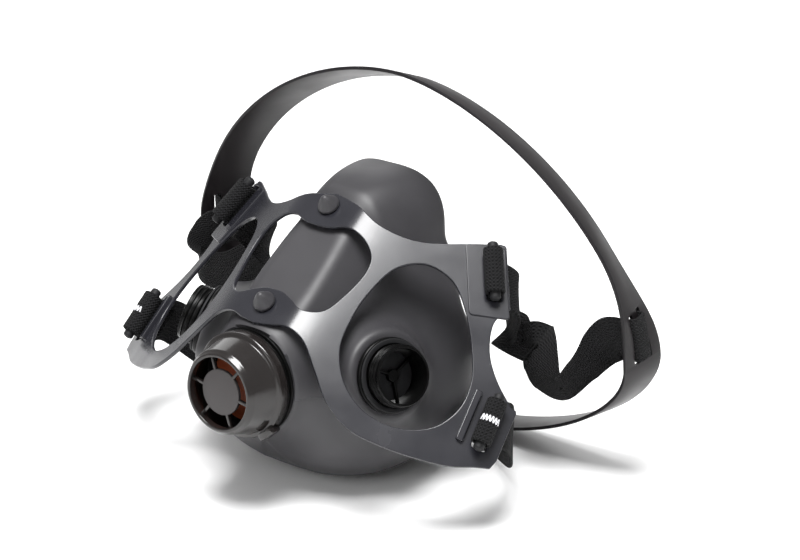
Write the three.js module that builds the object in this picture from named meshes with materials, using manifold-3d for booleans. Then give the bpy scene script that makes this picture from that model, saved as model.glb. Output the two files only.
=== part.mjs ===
// Half-mask respirator: soft facepiece, flexible cradle, two filter ports, exhalation valve,
// elastic webbing and a headpiece ring. Millimetres, +Z up, the valve faces -Y, X = 0 is the mask's
// middle plane. The mask stands on its chin and on the lowest stretch of the headpiece at Z = 0.
import * as THREE from 'three';
import { mergeVertices } from 'three/addons/utils/BufferGeometryUtils.js';
import { TessellateModifier } from 'three/addons/modifiers/TessellateModifier.js';
import Module from 'manifold-3d';

const wasm = await Module();
wasm.setup();

const { abs, cos, exp, floor, hypot, max, min, PI, sign, sin, sqrt } = Math;
const RIGHT = 1;
const LEFT = -1;
const SIDES = [[LEFT, 'left'], [RIGHT, 'right']];
const GAP = 0.3;

// The origin is under the middle of the whole object, which the headpiece sets.
const MODEL_SHIFT = new THREE.Vector3(-4.6, 0.91, 0);

// Front plate of the mask: a leaning plane that the cradle lies on.
const PLATE_ORIGIN = new THREE.Vector3(0, -42, 82);
const PLATE_UP = new THREE.Vector3(0, 0.817, 0.577).normalize();
const PLATE_OUT = new THREE.Vector3(0, -PLATE_UP.z, PLATE_UP.y);
const PLATE_DEPTH = 3.2;
const BUTTON_SPACING = 50.3;
const BUTTON_HOLE_RADIUS = 3.4;
const BUTTON_STEPS = 16;

// Facepiece.
const SHELL_WALL = 2.2;
const SHELL_CENTRE = new THREE.Vector3(0, 3, 52);
const SHELL_COLUMNS = 44;
const SHELL_ROWS = 14;
const LIP_RADIUS = 4.2;
const LIP_REACH = 4;
const LIP_TURN = 2.5;
const BODY_CENTRE = new THREE.Vector3(0, 5, 49);
const BODY_RADII = new THREE.Vector3(55.5, 52, 50);
const BODY_UPPER_RADII = new THREE.Vector3(55.5, 54, 66);
const TABLE = { normal: new THREE.Vector3(0, 0, -1), on: new THREE.Vector3(0, 0, 0) };
const NOSE_CENTRE = new THREE.Vector3(0, 42, 80);
const NOSE_RADII = new THREE.Vector3(31, 56, 39.5);

// Filter ports and exhalation valve: where each boss ends, and which way it points.
const PORT_PLACE = new THREE.Vector3(46.2, -21.2, 55.7);
const PORT_OUT = new THREE.Vector3(0.896, -0.315, 0.314).normalize();
const PORT_BOSS_RADIUS = 18;
const PORT_HOLE_RADIUS = 12.6;
const PORT_SEAT_RADIUS = 15.7;
const VALVE_PLACE = new THREE.Vector3(0, -51, 51.6);
const VALVE_OUT = new THREE.Vector3(0, -1, 0.08).normalize();
const VALVE_BOSS_RADIUS = 22.5;
const VALVE_HOLE_RADIUS = 16.2;
const VALVE_SEAT_RADIUS = 22.3;
const GUARD_DEPTH = 20.8;
const GUARD_TURN = 0.89;
const ROUND_STEPS = 24;

// Cradle sheet.
const SHEET = 1.6;
const SHEET_STEP = 15;
const BEND_START = 17;
const BEND_SOFTNESS = 5;
const BEND_SLOPE = 0.645;
const BEND_TWIST = 0.0008;
const UPPER_SLOT = { x: 66, s: 55.9, dx: 0.458, ds: -0.889 };
const LOWER_SLOT = { x: 89, s: 0.5, dx: 0.087, ds: -0.996 };
const TAB_SLOT_LENGTH = 21;
const TAB_SLOT_WIDTH = 5;

// Webbing and the rods that it is looped round.
const WEB_WIDTH = 19;
const WEB = 1.5;
const ROD_RADIUS = 2.2;
const ROD_LENGTH = 25;
const ROD_HEIGHT = 4.6;
const LOOP_RADIUS = 3.4;
const LAYER_OFFSET = 1.15;

// Headpiece: a band bent into a tapering ring, tilted a little.
const BAND = 1.5;
const BAND_WIDTH = 19;
const RING_CENTRE = new THREE.Vector3(6.4, 53, 61);
const RING_HALF_WIDTH = 113;
const RING_TOP = 98;
const RING_BOTTOM = 60.1;
const RING_POWER = 1.76;
const RING_FLARE = 0.5;
const FOOT_FLARE = -0.21;
const FLARE_MIDDLE = 2.04;
const FLARE_REACH = 2.19;
const FLARE_FADE = 0.7;
const RING_TILT = new THREE.Euler(0.138, 0.05, -0.033, 'ZXY');
const RING_STEPS = 60;
const RING_SLOT_ANGLE = { [RIGHT]: 0.16, [LEFT]: PI - 0.04 };
const RING_SLOT_OFFSET = 3.8;
const RING_SLOT_WIDTH = 3.2;

const materials = {
  elastomer: new THREE.MeshStandardMaterial({ color: 0x3f3e42, roughness: 0.55, metalness: 0 }),
  cradle: new THREE.MeshStandardMaterial({ color: 0x5c5a61, roughness: 0.4, metalness: 0 }),
  gloss: new THREE.MeshStandardMaterial({ color: 0x161415, roughness: 0.2, metalness: 0 }),
  rubber: new THREE.MeshStandardMaterial({ color: 0x101011, roughness: 0.7, metalness: 0 }),
  flap: new THREE.MeshStandardMaterial({ color: 0x8a3f22, roughness: 0.5, metalness: 0 }),
  webbing: new THREE.MeshStandardMaterial({ color: 0x0d0d0e, roughness: 0.9, metalness: 0 }),
  band: new THREE.MeshStandardMaterial({ color: 0x3a383b, roughness: 0.4, metalness: 0 }),
};

const model = new THREE.Group();

// ---------------------------------------------------------------- solids

function vec(x, y, z) {
  return new THREE.Vector3(x, y, z);
}

function solidOf(geometry) {
  const bare = geometry.clone();
  bare.deleteAttribute('normal');
  bare.deleteAttribute('uv');
  const welded = mergeVertices(bare, 1e-4);
  const vertProperties = new Float32Array(welded.attributes.position.array);
  const triVerts = new Uint32Array(welded.index.array);
  return new wasm.Manifold(new wasm.Mesh({ numProp: 3, vertProperties, triVerts }));
}

function geometryOf(solid) {
  const mesh = solid.getMesh();
  const geometry = new THREE.BufferGeometry();
  geometry.setAttribute('position', new THREE.BufferAttribute(new Float32Array(mesh.vertProperties), 3));
  geometry.setIndex(new THREE.BufferAttribute(new Uint32Array(mesh.triVerts), 1));
  geometry.computeVertexNormals();
  return geometry;
}

function addPart(name, geometry, material) {
  const part = new THREE.Mesh(geometry, materials[material]);
  part.name = name;
  model.add(part);
  return part;
}

// A closed skin from a grid of points. Each row is a closed ring of points; the first and the last
// ring are closed by a fan round their middle.
function ringedSolid(rings) {
  const positions = [];
  const index = [];
  const count = rings[0].length;
  for (const ring of rings) {
    for (const point of ring) positions.push(point.x, point.y, point.z);
  }
  for (let row = 0; row < rings.length - 1; row += 1) {
    for (let column = 0; column < count; column += 1) {
      const next = (column + 1) % count;
      const a = row * count + column;
      const b = row * count + next;
      index.push(a, b, b + count, a, b + count, a + count);
    }
  }
  for (const [row, flip] of [[0, true], [rings.length - 1, false]]) {
    const middle = vec(0, 0, 0);
    for (const point of rings[row]) middle.addScaledVector(point, 1 / count);
    const hub = positions.length / 3;
    positions.push(middle.x, middle.y, middle.z);
    for (let column = 0; column < count; column += 1) {
      const a = row * count + column;
      const b = row * count + (column + 1) % count;
      index.push(...(flip ? [hub, b, a] : [hub, a, b]));
    }
  }
  return closedGeometry(positions, index);
}

// A closed tube from sections that come back to the first one.
function loopedSolid(sections) {
  const positions = sections.flat().flatMap((point) => [point.x, point.y, point.z]);
  const index = [];
  const corners = sections[0].length;
  for (let row = 0; row < sections.length; row += 1) {
    const after = (row + 1) % sections.length;
    for (let column = 0; column < corners; column += 1) {
      const next = (column + 1) % corners;
      const a = row * corners + column;
      const b = row * corners + next;
      const c = after * corners + next;
      const d = after * corners + column;
      index.push(a, b, c, a, c, d);
    }
  }
  return closedGeometry(positions, index);
}

function closedGeometry(positions, index) {
  const geometry = new THREE.BufferGeometry();
  geometry.setAttribute('position', new THREE.Float32BufferAttribute(positions, 3));
  geometry.setIndex(signedVolume(positions, index) < 0 ? flipped(index) : index);
  geometry.computeVertexNormals();
  return geometry;
}

function signedVolume(positions, index) {
  const at = (i) => vec(positions[3 * i], positions[3 * i + 1], positions[3 * i + 2]);
  let volume = 0;
  for (let i = 0; i < index.length; i += 3) {
    volume += at(index[i]).dot(at(index[i + 1]).cross(at(index[i + 2])));
  }
  return volume / 6;
}

function flipped(index) {
  const other = index.slice();
  for (let i = 0; i < other.length; i += 3) [other[i], other[i + 1]] = [other[i + 1], other[i]];
  return other;
}

// A turned shape from [radius, height] pairs that go round its section, on the axis `out` at `place`.
function turned(profile, place, out, steps = ROUND_STEPS) {
  const points = profile.map(([radius, height]) => new THREE.Vector2(radius, height));
  if (profile[0][0] > 0) points.push(points[0].clone());
  const geometry = new THREE.LatheGeometry(points, steps);
  return geometry.applyMatrix4(placing(place, out));
}

// Carries +Y to `out` and the origin to `place`, keeping the local +X level.
function placing(place, out) {
  const level = out.clone().cross(vec(0, 0, 1)).normalize().negate();
  return new THREE.Matrix4().makeBasis(level, out, level.clone().cross(out)).setPosition(place);
}

function rod(radius, low, high, place, out, steps = ROUND_STEPS) {
  return turned([[0, low], [radius, low], [radius, high], [0, high]], place, out, steps);
}

function mirrored(point, side) {
  return vec(point.x * side, point.y, point.z);
}

// ---------------------------------------------------------------- facepiece

// Where two shapes meet, within `soft` of each other, the edge is rounded.
function inBoth(a, b, soft) {
  const near = max(soft - abs(a - b), 0) / soft;
  return max(a, b) + near * near * soft / 4;
}

function inEither(a, b, soft) {
  const near = max(soft - abs(a - b), 0) / soft;
  return min(a, b) - near * near * soft / 4;
}

function beyondPlane(point, normal, on) {
  return point.clone().sub(on).dot(normal) / normal.length();
}

const BLOB_SCALE = 45;

function beyondBlob(point, centre, radii, power) {
  const part = (axis) => abs((point[axis] - centre[axis]) / radii[axis]) ** power;
  const size = (part('x') + part('y') + part('z')) ** (1 / power);
  return (size - 1) * BLOB_SCALE;
}

function beyondBoss(point, place, out, radius, spread) {
  const offset = point.clone().sub(place);
  const height = offset.dot(out);
  const distance = offset.addScaledVector(out, -height).length();
  const side = (distance - radius + height * spread) / hypot(1, spread);
  return inBoth(inBoth(side, height, 2), -height - 40, 2);
}

function platePoint(x, s, n) {
  return PLATE_ORIGIN.clone().add(vec(x, 0, 0)).addScaledVector(PLATE_UP, s).addScaledVector(PLATE_OUT, n);
}

const PLATE_POINT = platePoint(0, 0, -PLATE_DEPTH);
const FLANK = { normal: vec(0.8, -0.25, 0.54), on: vec(15, -20, 93.5) };
const PLATE_SIDE = { normal: vec(0.807, -0.34, 0.482), on: platePoint(14.5, 25, -PLATE_DEPTH) };
const NOSE_FACET = { normal: vec(0.8, -0.33, 0.5), on: vec(13, 6, 114) };
const NOSE_FRONT = { normal: vec(0, -0.986, 0.148), on: platePoint(0, 58.3, -1.5) };
const NOSE_FOOT = { normal: vec(0, 0, -1), on: vec(0, 0, 68) };

// Signed distance, roughly, from the outer skin: negative inside.
function shell(point) {
  const half = vec(sqrt(point.x * point.x + 0.01), point.y, point.z);
  const radii = half.z > BODY_CENTRE.z ? BODY_UPPER_RADII : BODY_RADII;
  const body = beyondBlob(half, BODY_CENTRE, radii, 2.6);
  const flank = beyondPlane(half, FLANK.normal, FLANK.on);
  const side = inBoth(flank, beyondPlane(half, PLATE_SIDE.normal, PLATE_SIDE.on), 2);
  const main = inBoth(inBoth(body, side, 10), beyondPlane(half, PLATE_OUT, PLATE_POINT), 3);
  let nose = beyondBlob(half, NOSE_CENTRE, NOSE_RADII, 2.6);
  nose = inBoth(nose, beyondPlane(half, NOSE_FACET.normal, NOSE_FACET.on), 6);
  nose = inBoth(nose, beyondPlane(half, NOSE_FRONT.normal, NOSE_FRONT.on), 5);
  nose = inBoth(nose, beyondPlane(half, NOSE_FOOT.normal, NOSE_FOOT.on), 4);
  const valve = beyondBoss(half, VALVE_PLACE, VALVE_OUT, VALVE_BOSS_RADIUS, 0.22);
  const port = beyondBoss(half, PORT_PLACE, PORT_OUT, PORT_BOSS_RADIUS, 0.45);
  const whole = inEither(inEither(inEither(main, nose, 2), valve, 7), port, 6);
  return inBoth(whole, beyondPlane(half, TABLE.normal, TABLE.on), 0.5);
}

function shellNormal(point) {
  const step = 0.05;
  const slope = (axis) => {
    const ahead = point.clone();
    const behind = point.clone();
    ahead[axis] += step;
    behind[axis] -= step;
    return shell(ahead) - shell(behind);
  };
  return vec(slope('x'), slope('y'), slope('z')).normalize();
}

// The last point inside the shell along a ray from its centre.
function shellPoint(direction) {
  const at = (distance) => SHELL_CENTRE.clone().addScaledVector(direction, distance);
  let outside = 130;
  while (shell(at(outside)) > 0) outside -= 2.5;
  let inside = outside;
  outside += 2.5;
  for (let halving = 0; halving < 24; halving += 1) {
    const middle = (inside + outside) / 2;
    if (shell(at(middle)) < 0) inside = middle;
    else outside = middle;
  }
  return at(inside);
}

// How far round from the valve the shell reaches, in degrees, by the angle up from the side.
const RIM_KNOTS = [[-90, 99], [-20, 115], [15, 116], [52, 122], [90, 117]];

function rimReach(up) {
  const last = RIM_KNOTS.length - 1;
  let knot = 0;
  while (knot < last - 1 && up > RIM_KNOTS[knot + 1][0]) knot += 1;
  const [fromUp, from] = RIM_KNOTS[knot];
  const [toUp, to] = RIM_KNOTS[knot + 1];
  const part = (up - fromUp) / (toUp - fromUp);
  return from + (to - from) * (3 - 2 * part) * part * part;
}

function shellColumn(column) {
  const turn = -PI / 2 + (2 * PI * column) / SHELL_COLUMNS;
  const up = THREE.MathUtils.radToDeg(Math.asin(sin(turn)));
  const reach = THREE.MathUtils.degToRad(rimReach(up));
  const outer = [];
  for (let row = 1; row <= SHELL_ROWS; row += 1) {
    const bend = (reach * row) / SHELL_ROWS;
    outer.push(shellPoint(vec(sin(bend) * cos(turn), -cos(bend), sin(bend) * sin(turn))));
  }
  const points = outer.map((point) => ({ point, normal: shellNormal(point) }));
  const rim = points[SHELL_ROWS - 1];
  const back = rim.point.clone().sub(points[SHELL_ROWS - 2].point);
  back.addScaledVector(rim.normal, -back.dot(rim.normal)).normalize();
  const curlCentre = rim.point.clone().addScaledVector(rim.normal, -LIP_RADIUS);
  let edge;
  for (let step = 1; step <= 4; step += 1) {
    const curl = (LIP_TURN * step) / 4;
    const normal = rim.normal.clone().multiplyScalar(cos(curl)).addScaledVector(back, sin(curl));
    edge = { point: curlCentre.clone().addScaledVector(normal, LIP_RADIUS), normal };
    points.push(edge);
  }
  const inward = rim.normal.clone().multiplyScalar(-sin(LIP_TURN)).addScaledVector(back, cos(LIP_TURN));
  points.push({ point: edge.point.clone().addScaledVector(inward, LIP_REACH), normal: edge.normal });
  return points;
}

function facepieceShell() {
  const columns = [];
  for (let column = 0; column < SHELL_COLUMNS; column += 1) columns.push(shellColumn(column));
  const rows = columns[0].length;
  const rings = [];
  for (let row = 0; row < rows; row += 1) rings.push(columns.map((points) => points[row].point));
  for (let row = rows - 1; row >= 0; row -= 1) {
    const inner = ({ point, normal }) => point.clone().addScaledVector(normal, -SHELL_WALL);
    rings.push(columns.map((points) => inner(points[row])));
  }
  return ringedSolid(rings);
}

function buttonOn(s) {
  const stem = [[0, -PLATE_DEPTH - 1.5], [3, -PLATE_DEPTH - 1.5], [3, 0.4], [4.5, 0.5]];
  const head = [[4.4, 1.6], [3.2, 3.6], [1.6, 5.6], [0, 6.4]];
  return turned([...stem, ...head], platePoint(0, s, 0), PLATE_OUT, BUTTON_STEPS);
}

// A round hole through the wall, with a flat seat round it on both faces.
function openedAt(solid, place, out, holeRadius, seatRadius) {
  const hole = rod(holeRadius, -12, 6, place, out);
  const front = rod(seatRadius, 0, 6, place, out);
  const back = rod(seatRadius, -12, -SHELL_WALL, place, out);
  return solid.subtract(solidOf(hole)).subtract(solidOf(front)).subtract(solidOf(back));
}

function makeFacepiece() {
  let solid = solidOf(facepieceShell());
  solid = openedAt(solid, VALVE_PLACE, VALVE_OUT, VALVE_HOLE_RADIUS, VALVE_SEAT_RADIUS);
  for (const [side] of SIDES) {
    const place = mirrored(PORT_PLACE, side);
    solid = openedAt(solid, place, mirrored(PORT_OUT, side), PORT_HOLE_RADIUS, PORT_SEAT_RADIUS);
  }
  solid = solid.add(solidOf(buttonOn(0))).add(solidOf(buttonOn(BUTTON_SPACING)));
  addPart('facepiece', geometryOf(solid), 'elastomer');
}

// ---------------------------------------------------------------- filter ports

function spokes(count, radius, thickness, low, high, place, out, first = PI / 6) {
  const bars = [];
  for (let spoke = 0; spoke < count; spoke += 1) {
    const bar = new THREE.BoxGeometry(radius, high - low, thickness);
    bar.translate(radius / 2, (high + low) / 2, 0);
    bar.rotateY((2 * PI * spoke) / count + first);
    bars.push(bar.applyMatrix4(placing(place, out)));
  }
  return bars;
}

function wheelSolid(outer, hubRadius, count, reach, thickness, low, high, place, out, first) {
  let solid = solidOf(outer);
  const bars = spokes(count, reach, thickness, low, high, place, out, first);
  for (const bar of bars) solid = solid.add(solidOf(bar));
  return solid.add(solidOf(rod(hubRadius, low, high, place, out)));
}

const THREAD_PITCH = 3.1;
const THREAD_TURNS = 2;

function connectorProfile() {
  const outside = [[12.2, -6], [12.2, GAP], [15.3, GAP], [15.3, 2], [14.8, 2.5], [12, 2.5], [12, 3.9]];
  for (let turn = 0; turn < THREAD_TURNS; turn += 1) {
    const low = 4.1 + turn * THREAD_PITCH;
    outside.push([12, low], [12.6, low + 0.8], [12.6, low + 1.2], [12, low + 2]);
  }
  return [[11, -6], ...outside, [12.1, 10.6], [11.8, 11], [11.3, 11], [11, 10.6]];
}

function makePort(side, name) {
  const place = mirrored(PORT_PLACE, side);
  const out = mirrored(PORT_OUT, side);
  const body = turned(connectorProfile(), place, out);
  const solid = wheelSolid(body, 2.6, 3, 11.5, 1.1, 1.6, 3.4, place, out);
  addPart(`port_connector_${name}`, geometryOf(solid), 'gloss');
  const gasket = [[12.8, 2.5 + GAP], [14.8, 2.5 + GAP], [14.8, 3.8], [12.8, 3.8]];
  addPart(`port_gasket_${name}`, turned(gasket, place, out), 'rubber');
  const back = -SHELL_WALL - GAP - 0.2;
  const nut = [[12.5, back - 2.4], [15.4, back - 2.4], [15.4, back], [12.5, back]];
  addPart(`port_retaining_ring_${name}`, turned(nut, place, out), 'gloss');
  const flap = [[0, 0.2], [9.8, 0.4], [9.8, 1.1], [2, 1.3], [0, 1.3]];
  addPart(`inhalation_flap_${name}`, turned(flap, place, out), 'rubber');
}

// ---------------------------------------------------------------- exhalation valve

function makeValve() {
  const place = VALVE_PLACE;
  const out = VALVE_OUT;
  const seatProfile = [
    [14.2, -5.4], [15.8, -5.4], [15.8, GAP], [21.9, GAP], [21.9, 1.2], [20.6, 1.5],
    [20.6, 2.2], [21.6, 2.5], [21.6, 3.2], [15.2, 3.2], [15.2, 4.4], [14.2, 4.4],
  ];
  const seat = wheelSolid(turned(seatProfile, place, out), 3, 4, 14.6, 1.4, 1.2, 3, place, out);
  addPart('exhalation_valve_seat', geometryOf(seat), 'gloss');
  const back = -SHELL_WALL - GAP - 0.2;
  const nut = [[16.1, back - 2.4], [19.2, back - 2.4], [19.2, back], [16.1, back]];
  addPart('valve_retaining_ring', turned(nut, place, out), 'gloss');
  const flap = [[0, 4.1], [2.5, 4.1], [3.5, 4.7], [15.4, 4.7], [15.4, 5.3], [0, 6]];
  addPart('exhalation_flap', turned(flap, place, out), 'flap');
  makeGuard(place, out);
}

function makeGuard(place, out) {
  const profile = [
    [20.2, 3.5], [21.75, 3.5], [21.75, 7.6], [21.2, 8.2], [19.9, 8.6], [17.4, 18.6],
    [16.6, 19.4], [15.9, GUARD_DEPTH], [14.6, GUARD_DEPTH], [14.6, 17.4], [15.9, 16.6], [18.6, 7.2],
    [20.2, 6.6],
  ];
  const barrel = turned(profile, place, out);
  const wheel = wheelSolid(barrel, 9.4, 6, 15.6, 1.3, 17.4, 19, place, out, GUARD_TURN);
  const latch = new THREE.BoxGeometry(8, 6, 3.2);
  latch.translate(0, 6.5, 22.2);
  latch.rotateY(0.75);
  const solid = wheel.add(solidOf(latch.applyMatrix4(placing(place, out))));
  addPart('exhalation_valve_guard', geometryOf(solid), 'gloss');
}

// ---------------------------------------------------------------- cradle

function sheetTop(x, s) {
  const beyond = abs(x) - BEND_START;
  const ramp = (beyond + hypot(beyond, BEND_SOFTNESS)) / 2;
  const start = (hypot(BEND_START, BEND_SOFTNESS) - BEND_START) / 2;
  return -BEND_SLOPE * (ramp - start) + BEND_TWIST * abs(x) * (s - 20);
}

// The point at a height above the sheet's top face, and the sheet's outward normal there.
function sheetPoint(x, s, height) {
  const step = 0.5;
  const top = (dx, ds) => platePoint(x + dx, s + ds, sheetTop(x + dx, s + ds));
  const across = top(step, 0).sub(top(-step, 0));
  const along = top(0, step).sub(top(0, -step));
  const normal = across.cross(along).normalize();
  return { point: top(0, 0).addScaledVector(normal, height), normal };
}

// Half of the outer edge, from the top middle round the right-hand tabs to the bottom middle.
const CRADLE_EDGE = [
  [0, 57], [7, 55.5], [13, 54], [22, 50.6], [30, 50.4], [38, 52.4], [46, 57], [54, 62.8], [63, 69],
];
const CRADLE_SIDE = [[76.4, 45.2], [74.6, 40], [75.4, 34], [79, 25.5], [85, 18.2], [93, 11.8]];
const CRADLE_FOOT = [
  [92, -16.6], [84, -22], [74, -26], [62, -29.2], [51, -30.2], [40, -25.4], [31, -16.4], [22, -8.2],
  [14, -6.6], [7, -8.4], [0, -9.6],
];
const PORT_WINDOW = [
  [33, 8], [33.2, 22], [37, 38], [45, 45.6], [55, 45.2], [64, 37], [73.5, 22], [77.5, 12],
  [78.2, 0], [73.5, -12], [63, -19.8], [52, -20.6], [42, -15], [35, -4],
];
const MIDDLE_WINDOW = [
  [0, 40.4], [6, 40.8], [13, 43.2], [21, 42], [27, 37], [28.6, 30], [26.6, 16], [23, 6], [16.4, 2.6],
  [9, 5.4], [4, 7.2], [0, 7.4],
];

function splineThrough(points, closed, steps) {
  const curve = new THREE.CatmullRomCurve3(points.map(([x, s]) => vec(x, s, 0)), closed, 'centripetal');
  const found = curve.getPoints(steps).map(({ x, y }) => [x, y]);
  return closed ? found.slice(0, -1) : found;
}

function mirroredLoop(half) {
  const other = half.slice(1, -1).reverse().map(([x, s]) => [-x, s]);
  return [...half, ...other];
}

function slotOutline({ x, s, dx, ds }, side) {
  const along = TAB_SLOT_LENGTH / 2;
  const across = TAB_SLOT_WIDTH / 2;
  const corners = [[-along, -across], [along, -across], [along, across], [-along, across]];
  return corners.map(([u, v]) => [side * (x + dx * u - ds * v), s + ds * u + dx * v]);
}

function cradleOutline() {
  const half = [
    ...splineThrough(CRADLE_EDGE, false, 18),
    [64.8, 69.6], [65.6, 69], [77, 47.2], [77, 46.2],
    ...splineThrough(CRADLE_SIDE, false, 10),
    [95, 11.6], [95.6, 10.6], [97.2, -10], [96.4, -14],
    ...splineThrough(CRADLE_FOOT, false, 22),
  ];
  return mirroredLoop(half);
}

function cradleHoles() {
  const round = (s) => {
    const turn = [...Array(BUTTON_STEPS).keys()].map((step) => (2 * PI * step) / BUTTON_STEPS);
    return turn.map((angle) => [BUTTON_HOLE_RADIUS * cos(angle), s + BUTTON_HOLE_RADIUS * sin(angle)]);
  };
  const holes = [round(0), round(BUTTON_SPACING), mirroredLoop(splineThrough(MIDDLE_WINDOW, false, 24))];
  for (const [side] of SIDES) {
    holes.push(splineThrough(PORT_WINDOW, true, 36).map(([x, s]) => [x * side, s]));
    holes.push(slotOutline(UPPER_SLOT, side), slotOutline(LOWER_SLOT, side));
  }
  return holes;
}

function makeCradle() {
  const toPath = (points) => points.map(([x, s]) => new THREE.Vector2(x, s));
  const shape = new THREE.Shape(toPath(cradleOutline().reverse()));
  shape.holes = cradleHoles().map((points) => new THREE.Path(toPath(points)));
  const flat = new THREE.ExtrudeGeometry(shape, { depth: 1, bevelEnabled: false });
  const geometry = new TessellateModifier(SHEET_STEP, 12).modify(flat);
  bendOntoSheet(geometry, -SHEET, 0);
  let solid = solidOf(geometry);
  for (const [side] of SIDES) {
    const ridge = new THREE.BoxGeometry(2.6, 22, 1, 1, 6, 1);
    ridge.translate(0, 0, 0.5);
    ridge.rotateZ(side * 0.087);
    ridge.translate(side * (LOWER_SLOT.x - 6.8), LOWER_SLOT.s, 0);
    bendOntoSheet(ridge, -0.8, 1.8);
    solid = solid.add(solidOf(ridge));
  }
  addPart('cradle', geometryOf(solid), 'cradle');
}

// A flat shape in (x, s) with depth 0 to 1 is laid on the sheet between two heights.
function bendOntoSheet(geometry, low, high) {
  const position = geometry.attributes.position;
  for (let i = 0; i < position.count; i += 1) {
    const height = low + (high - low) * position.getZ(i);
    const { point } = sheetPoint(position.getX(i), position.getY(i), height);
    position.setXYZ(i, point.x, point.y, point.z);
  }
}

// ---------------------------------------------------------------- rods and webbing

// The frame of a tab's slot: its middle, the direction along it, across it and out of the sheet.
function slotFrame(slot, side) {
  const { point, normal } = sheetPoint(slot.x * side, slot.s, 0);
  const far = sheetPoint((slot.x + slot.dx) * side, slot.s + slot.ds, 0).point;
  const along = far.sub(point).normalize().negate();
  const across = along.clone().cross(normal).multiplyScalar(side).normalize();
  return { point, along, across, out: normal };
}

function makeRod(slot, side, name) {
  const { point, along, out } = slotFrame(slot, side);
  const capsule = new THREE.CapsuleGeometry(ROD_RADIUS, ROD_LENGTH - 2 * ROD_RADIUS, 4, 14);
  capsule.applyMatrix4(placing(point.clone().addScaledVector(out, ROD_HEIGHT), along));
  addPart(name, capsule, 'gloss');
}

// The four corners of a rectangle: its middle, and the direction and length of each of its sides.
function rectangleAt(point, side, width, up, thickness) {
  const corner = (a, b) => {
    const across = point.clone().addScaledVector(side, (a * width) / 2);
    return across.addScaledVector(up, (b * thickness) / 2);
  };
  return [corner(-1, -1), corner(1, -1), corner(1, 1), corner(-1, 1)];
}

// A flat band of webbing along stations {point, wide}, `wide` being the direction of its width.
function ribbon(stations, width, thickness) {
  const rings = stations.map(({ point, wide }, i) => {
    const before = stations[max(i - 1, 0)].point;
    const after = stations[min(i + 1, stations.length - 1)].point;
    const ahead = after.clone().sub(before).normalize();
    const side = wide.clone().addScaledVector(ahead, -wide.dot(ahead)).normalize();
    const up = side.clone().cross(ahead);
    return rectangleAt(point, side, width, up, thickness);
  });
  return ringedSolid(rings);
}

// The loop round a rod and the two layers that go back through the tab's slot.
function loopStations(slot, side) {
  const { point, along, across, out } = slotFrame(slot, side);
  const place = (a, b) => point.clone().addScaledVector(across, a).addScaledVector(out, b);
  const at = (a, b) => ({ point: place(a, b), wide: along });
  const stations = [at(LAYER_OFFSET, -7), at(LAYER_OFFSET, -4), at(LAYER_OFFSET, -1)];
  const open = 0.42;
  const steps = 12;
  for (let step = 0; step <= steps; step += 1) {
    const angle = -PI / 2 + open + ((2 * PI - 2 * open) * step) / steps;
    stations.push(at(LOOP_RADIUS * cos(angle), ROD_HEIGHT + LOOP_RADIUS * sin(angle)));
  }
  return [...stations, at(-LAYER_OFFSET, -1), at(-LAYER_OFFSET, -4)];
}

function runStations(from, route, side, steps) {
  const places = [from.point, ...route.map(({ at }) => vec(at[0] * side, at[1], at[2]))];
  const widths = [from.wide, ...route.map(({ wide }) => vec(wide[0] * side, wide[1], wide[2]).normalize())];
  const curve = new THREE.CatmullRomCurve3(places, false, 'centripetal');
  const stations = [];
  for (let step = 1; step <= steps; step += 1) {
    const along = (step / steps) * (places.length - 1);
    const low = min(floor(along), places.length - 2);
    const wide = widths[low].clone().lerp(widths[low + 1], along - low);
    stations.push({ point: curve.getPoint(step / steps), wide });
  }
  return stations;
}

// Routes are given for the right-hand side; `wide` runs up the webbing's width. The left upper strap
// hangs in a loop of its own.
const UPPER_ROUTE = {
  [RIGHT]: [
    { at: [71, 30, 80], wide: [-0.45, 0.5, 0.74] },
    { at: [66, 36, 68], wide: [-0.2, 0.3, 0.93] },
    { at: [60, 41, 59], wide: [0, 0, 1] },
    { at: [65, 44, 53.5], wide: [0.1, -0.1, 1] },
    { at: [71, 43, 54], wide: [0.5, -0.2, 0.85] },
    { at: [76.5, 39.5, 56], wide: [0.9, -0.15, 0.4] },
    { at: [80, 36, 49.5], wide: [0.98, -0.1, 0.15] },
    { at: [83, 36, 43], wide: [0.9, -0.2, 0.4] },
    { at: [88, 39, 40], wide: [0.3, -0.5, 0.8] },
    { at: [95, 43, 48], wide: [0.05, -0.6, 0.8] },
    { at: [102, 46, 58], wide: [-0.05, -0.4, 0.9] },
  ],
  [LEFT]: [
    { at: [71, 30, 80], wide: [-0.3, 0.5, 0.8] },
    { at: [68, 37, 71], wide: [-0.1, 0.3, 0.95] },
    { at: [71, 43, 62], wide: [0, 0.1, 1] },
    { at: [81, 44, 54], wide: [0, 0, 1] },
    { at: [92.5, 40, 48], wide: [0, -0.1, 1] },
    { at: [103, 37, 49], wide: [0, -0.2, 1] },
    { at: [107.3, 38.5, 55], wide: [0, -0.3, 1] },
    { at: [105.5, 43, 62], wide: [0, -0.4, 0.95] },
  ],
};
const NECK_ROUTE = [
  { at: [89.5, -2.5, 39], wide: [-0.2, 0.4, 0.9] },
  { at: [87, 5, 33], wide: [-0.1, 0.2, 0.97] },
  { at: [77, 18, 19.5], wide: [0, 0, 1] },
  { at: [58, 33, 13.8], wide: [0, 0, 1] },
  { at: [33, 42, 13.2], wide: [0, 0, 1] },
  { at: [14.3, 43, 13.2], wide: [0, 0, 1] },
];

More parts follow.
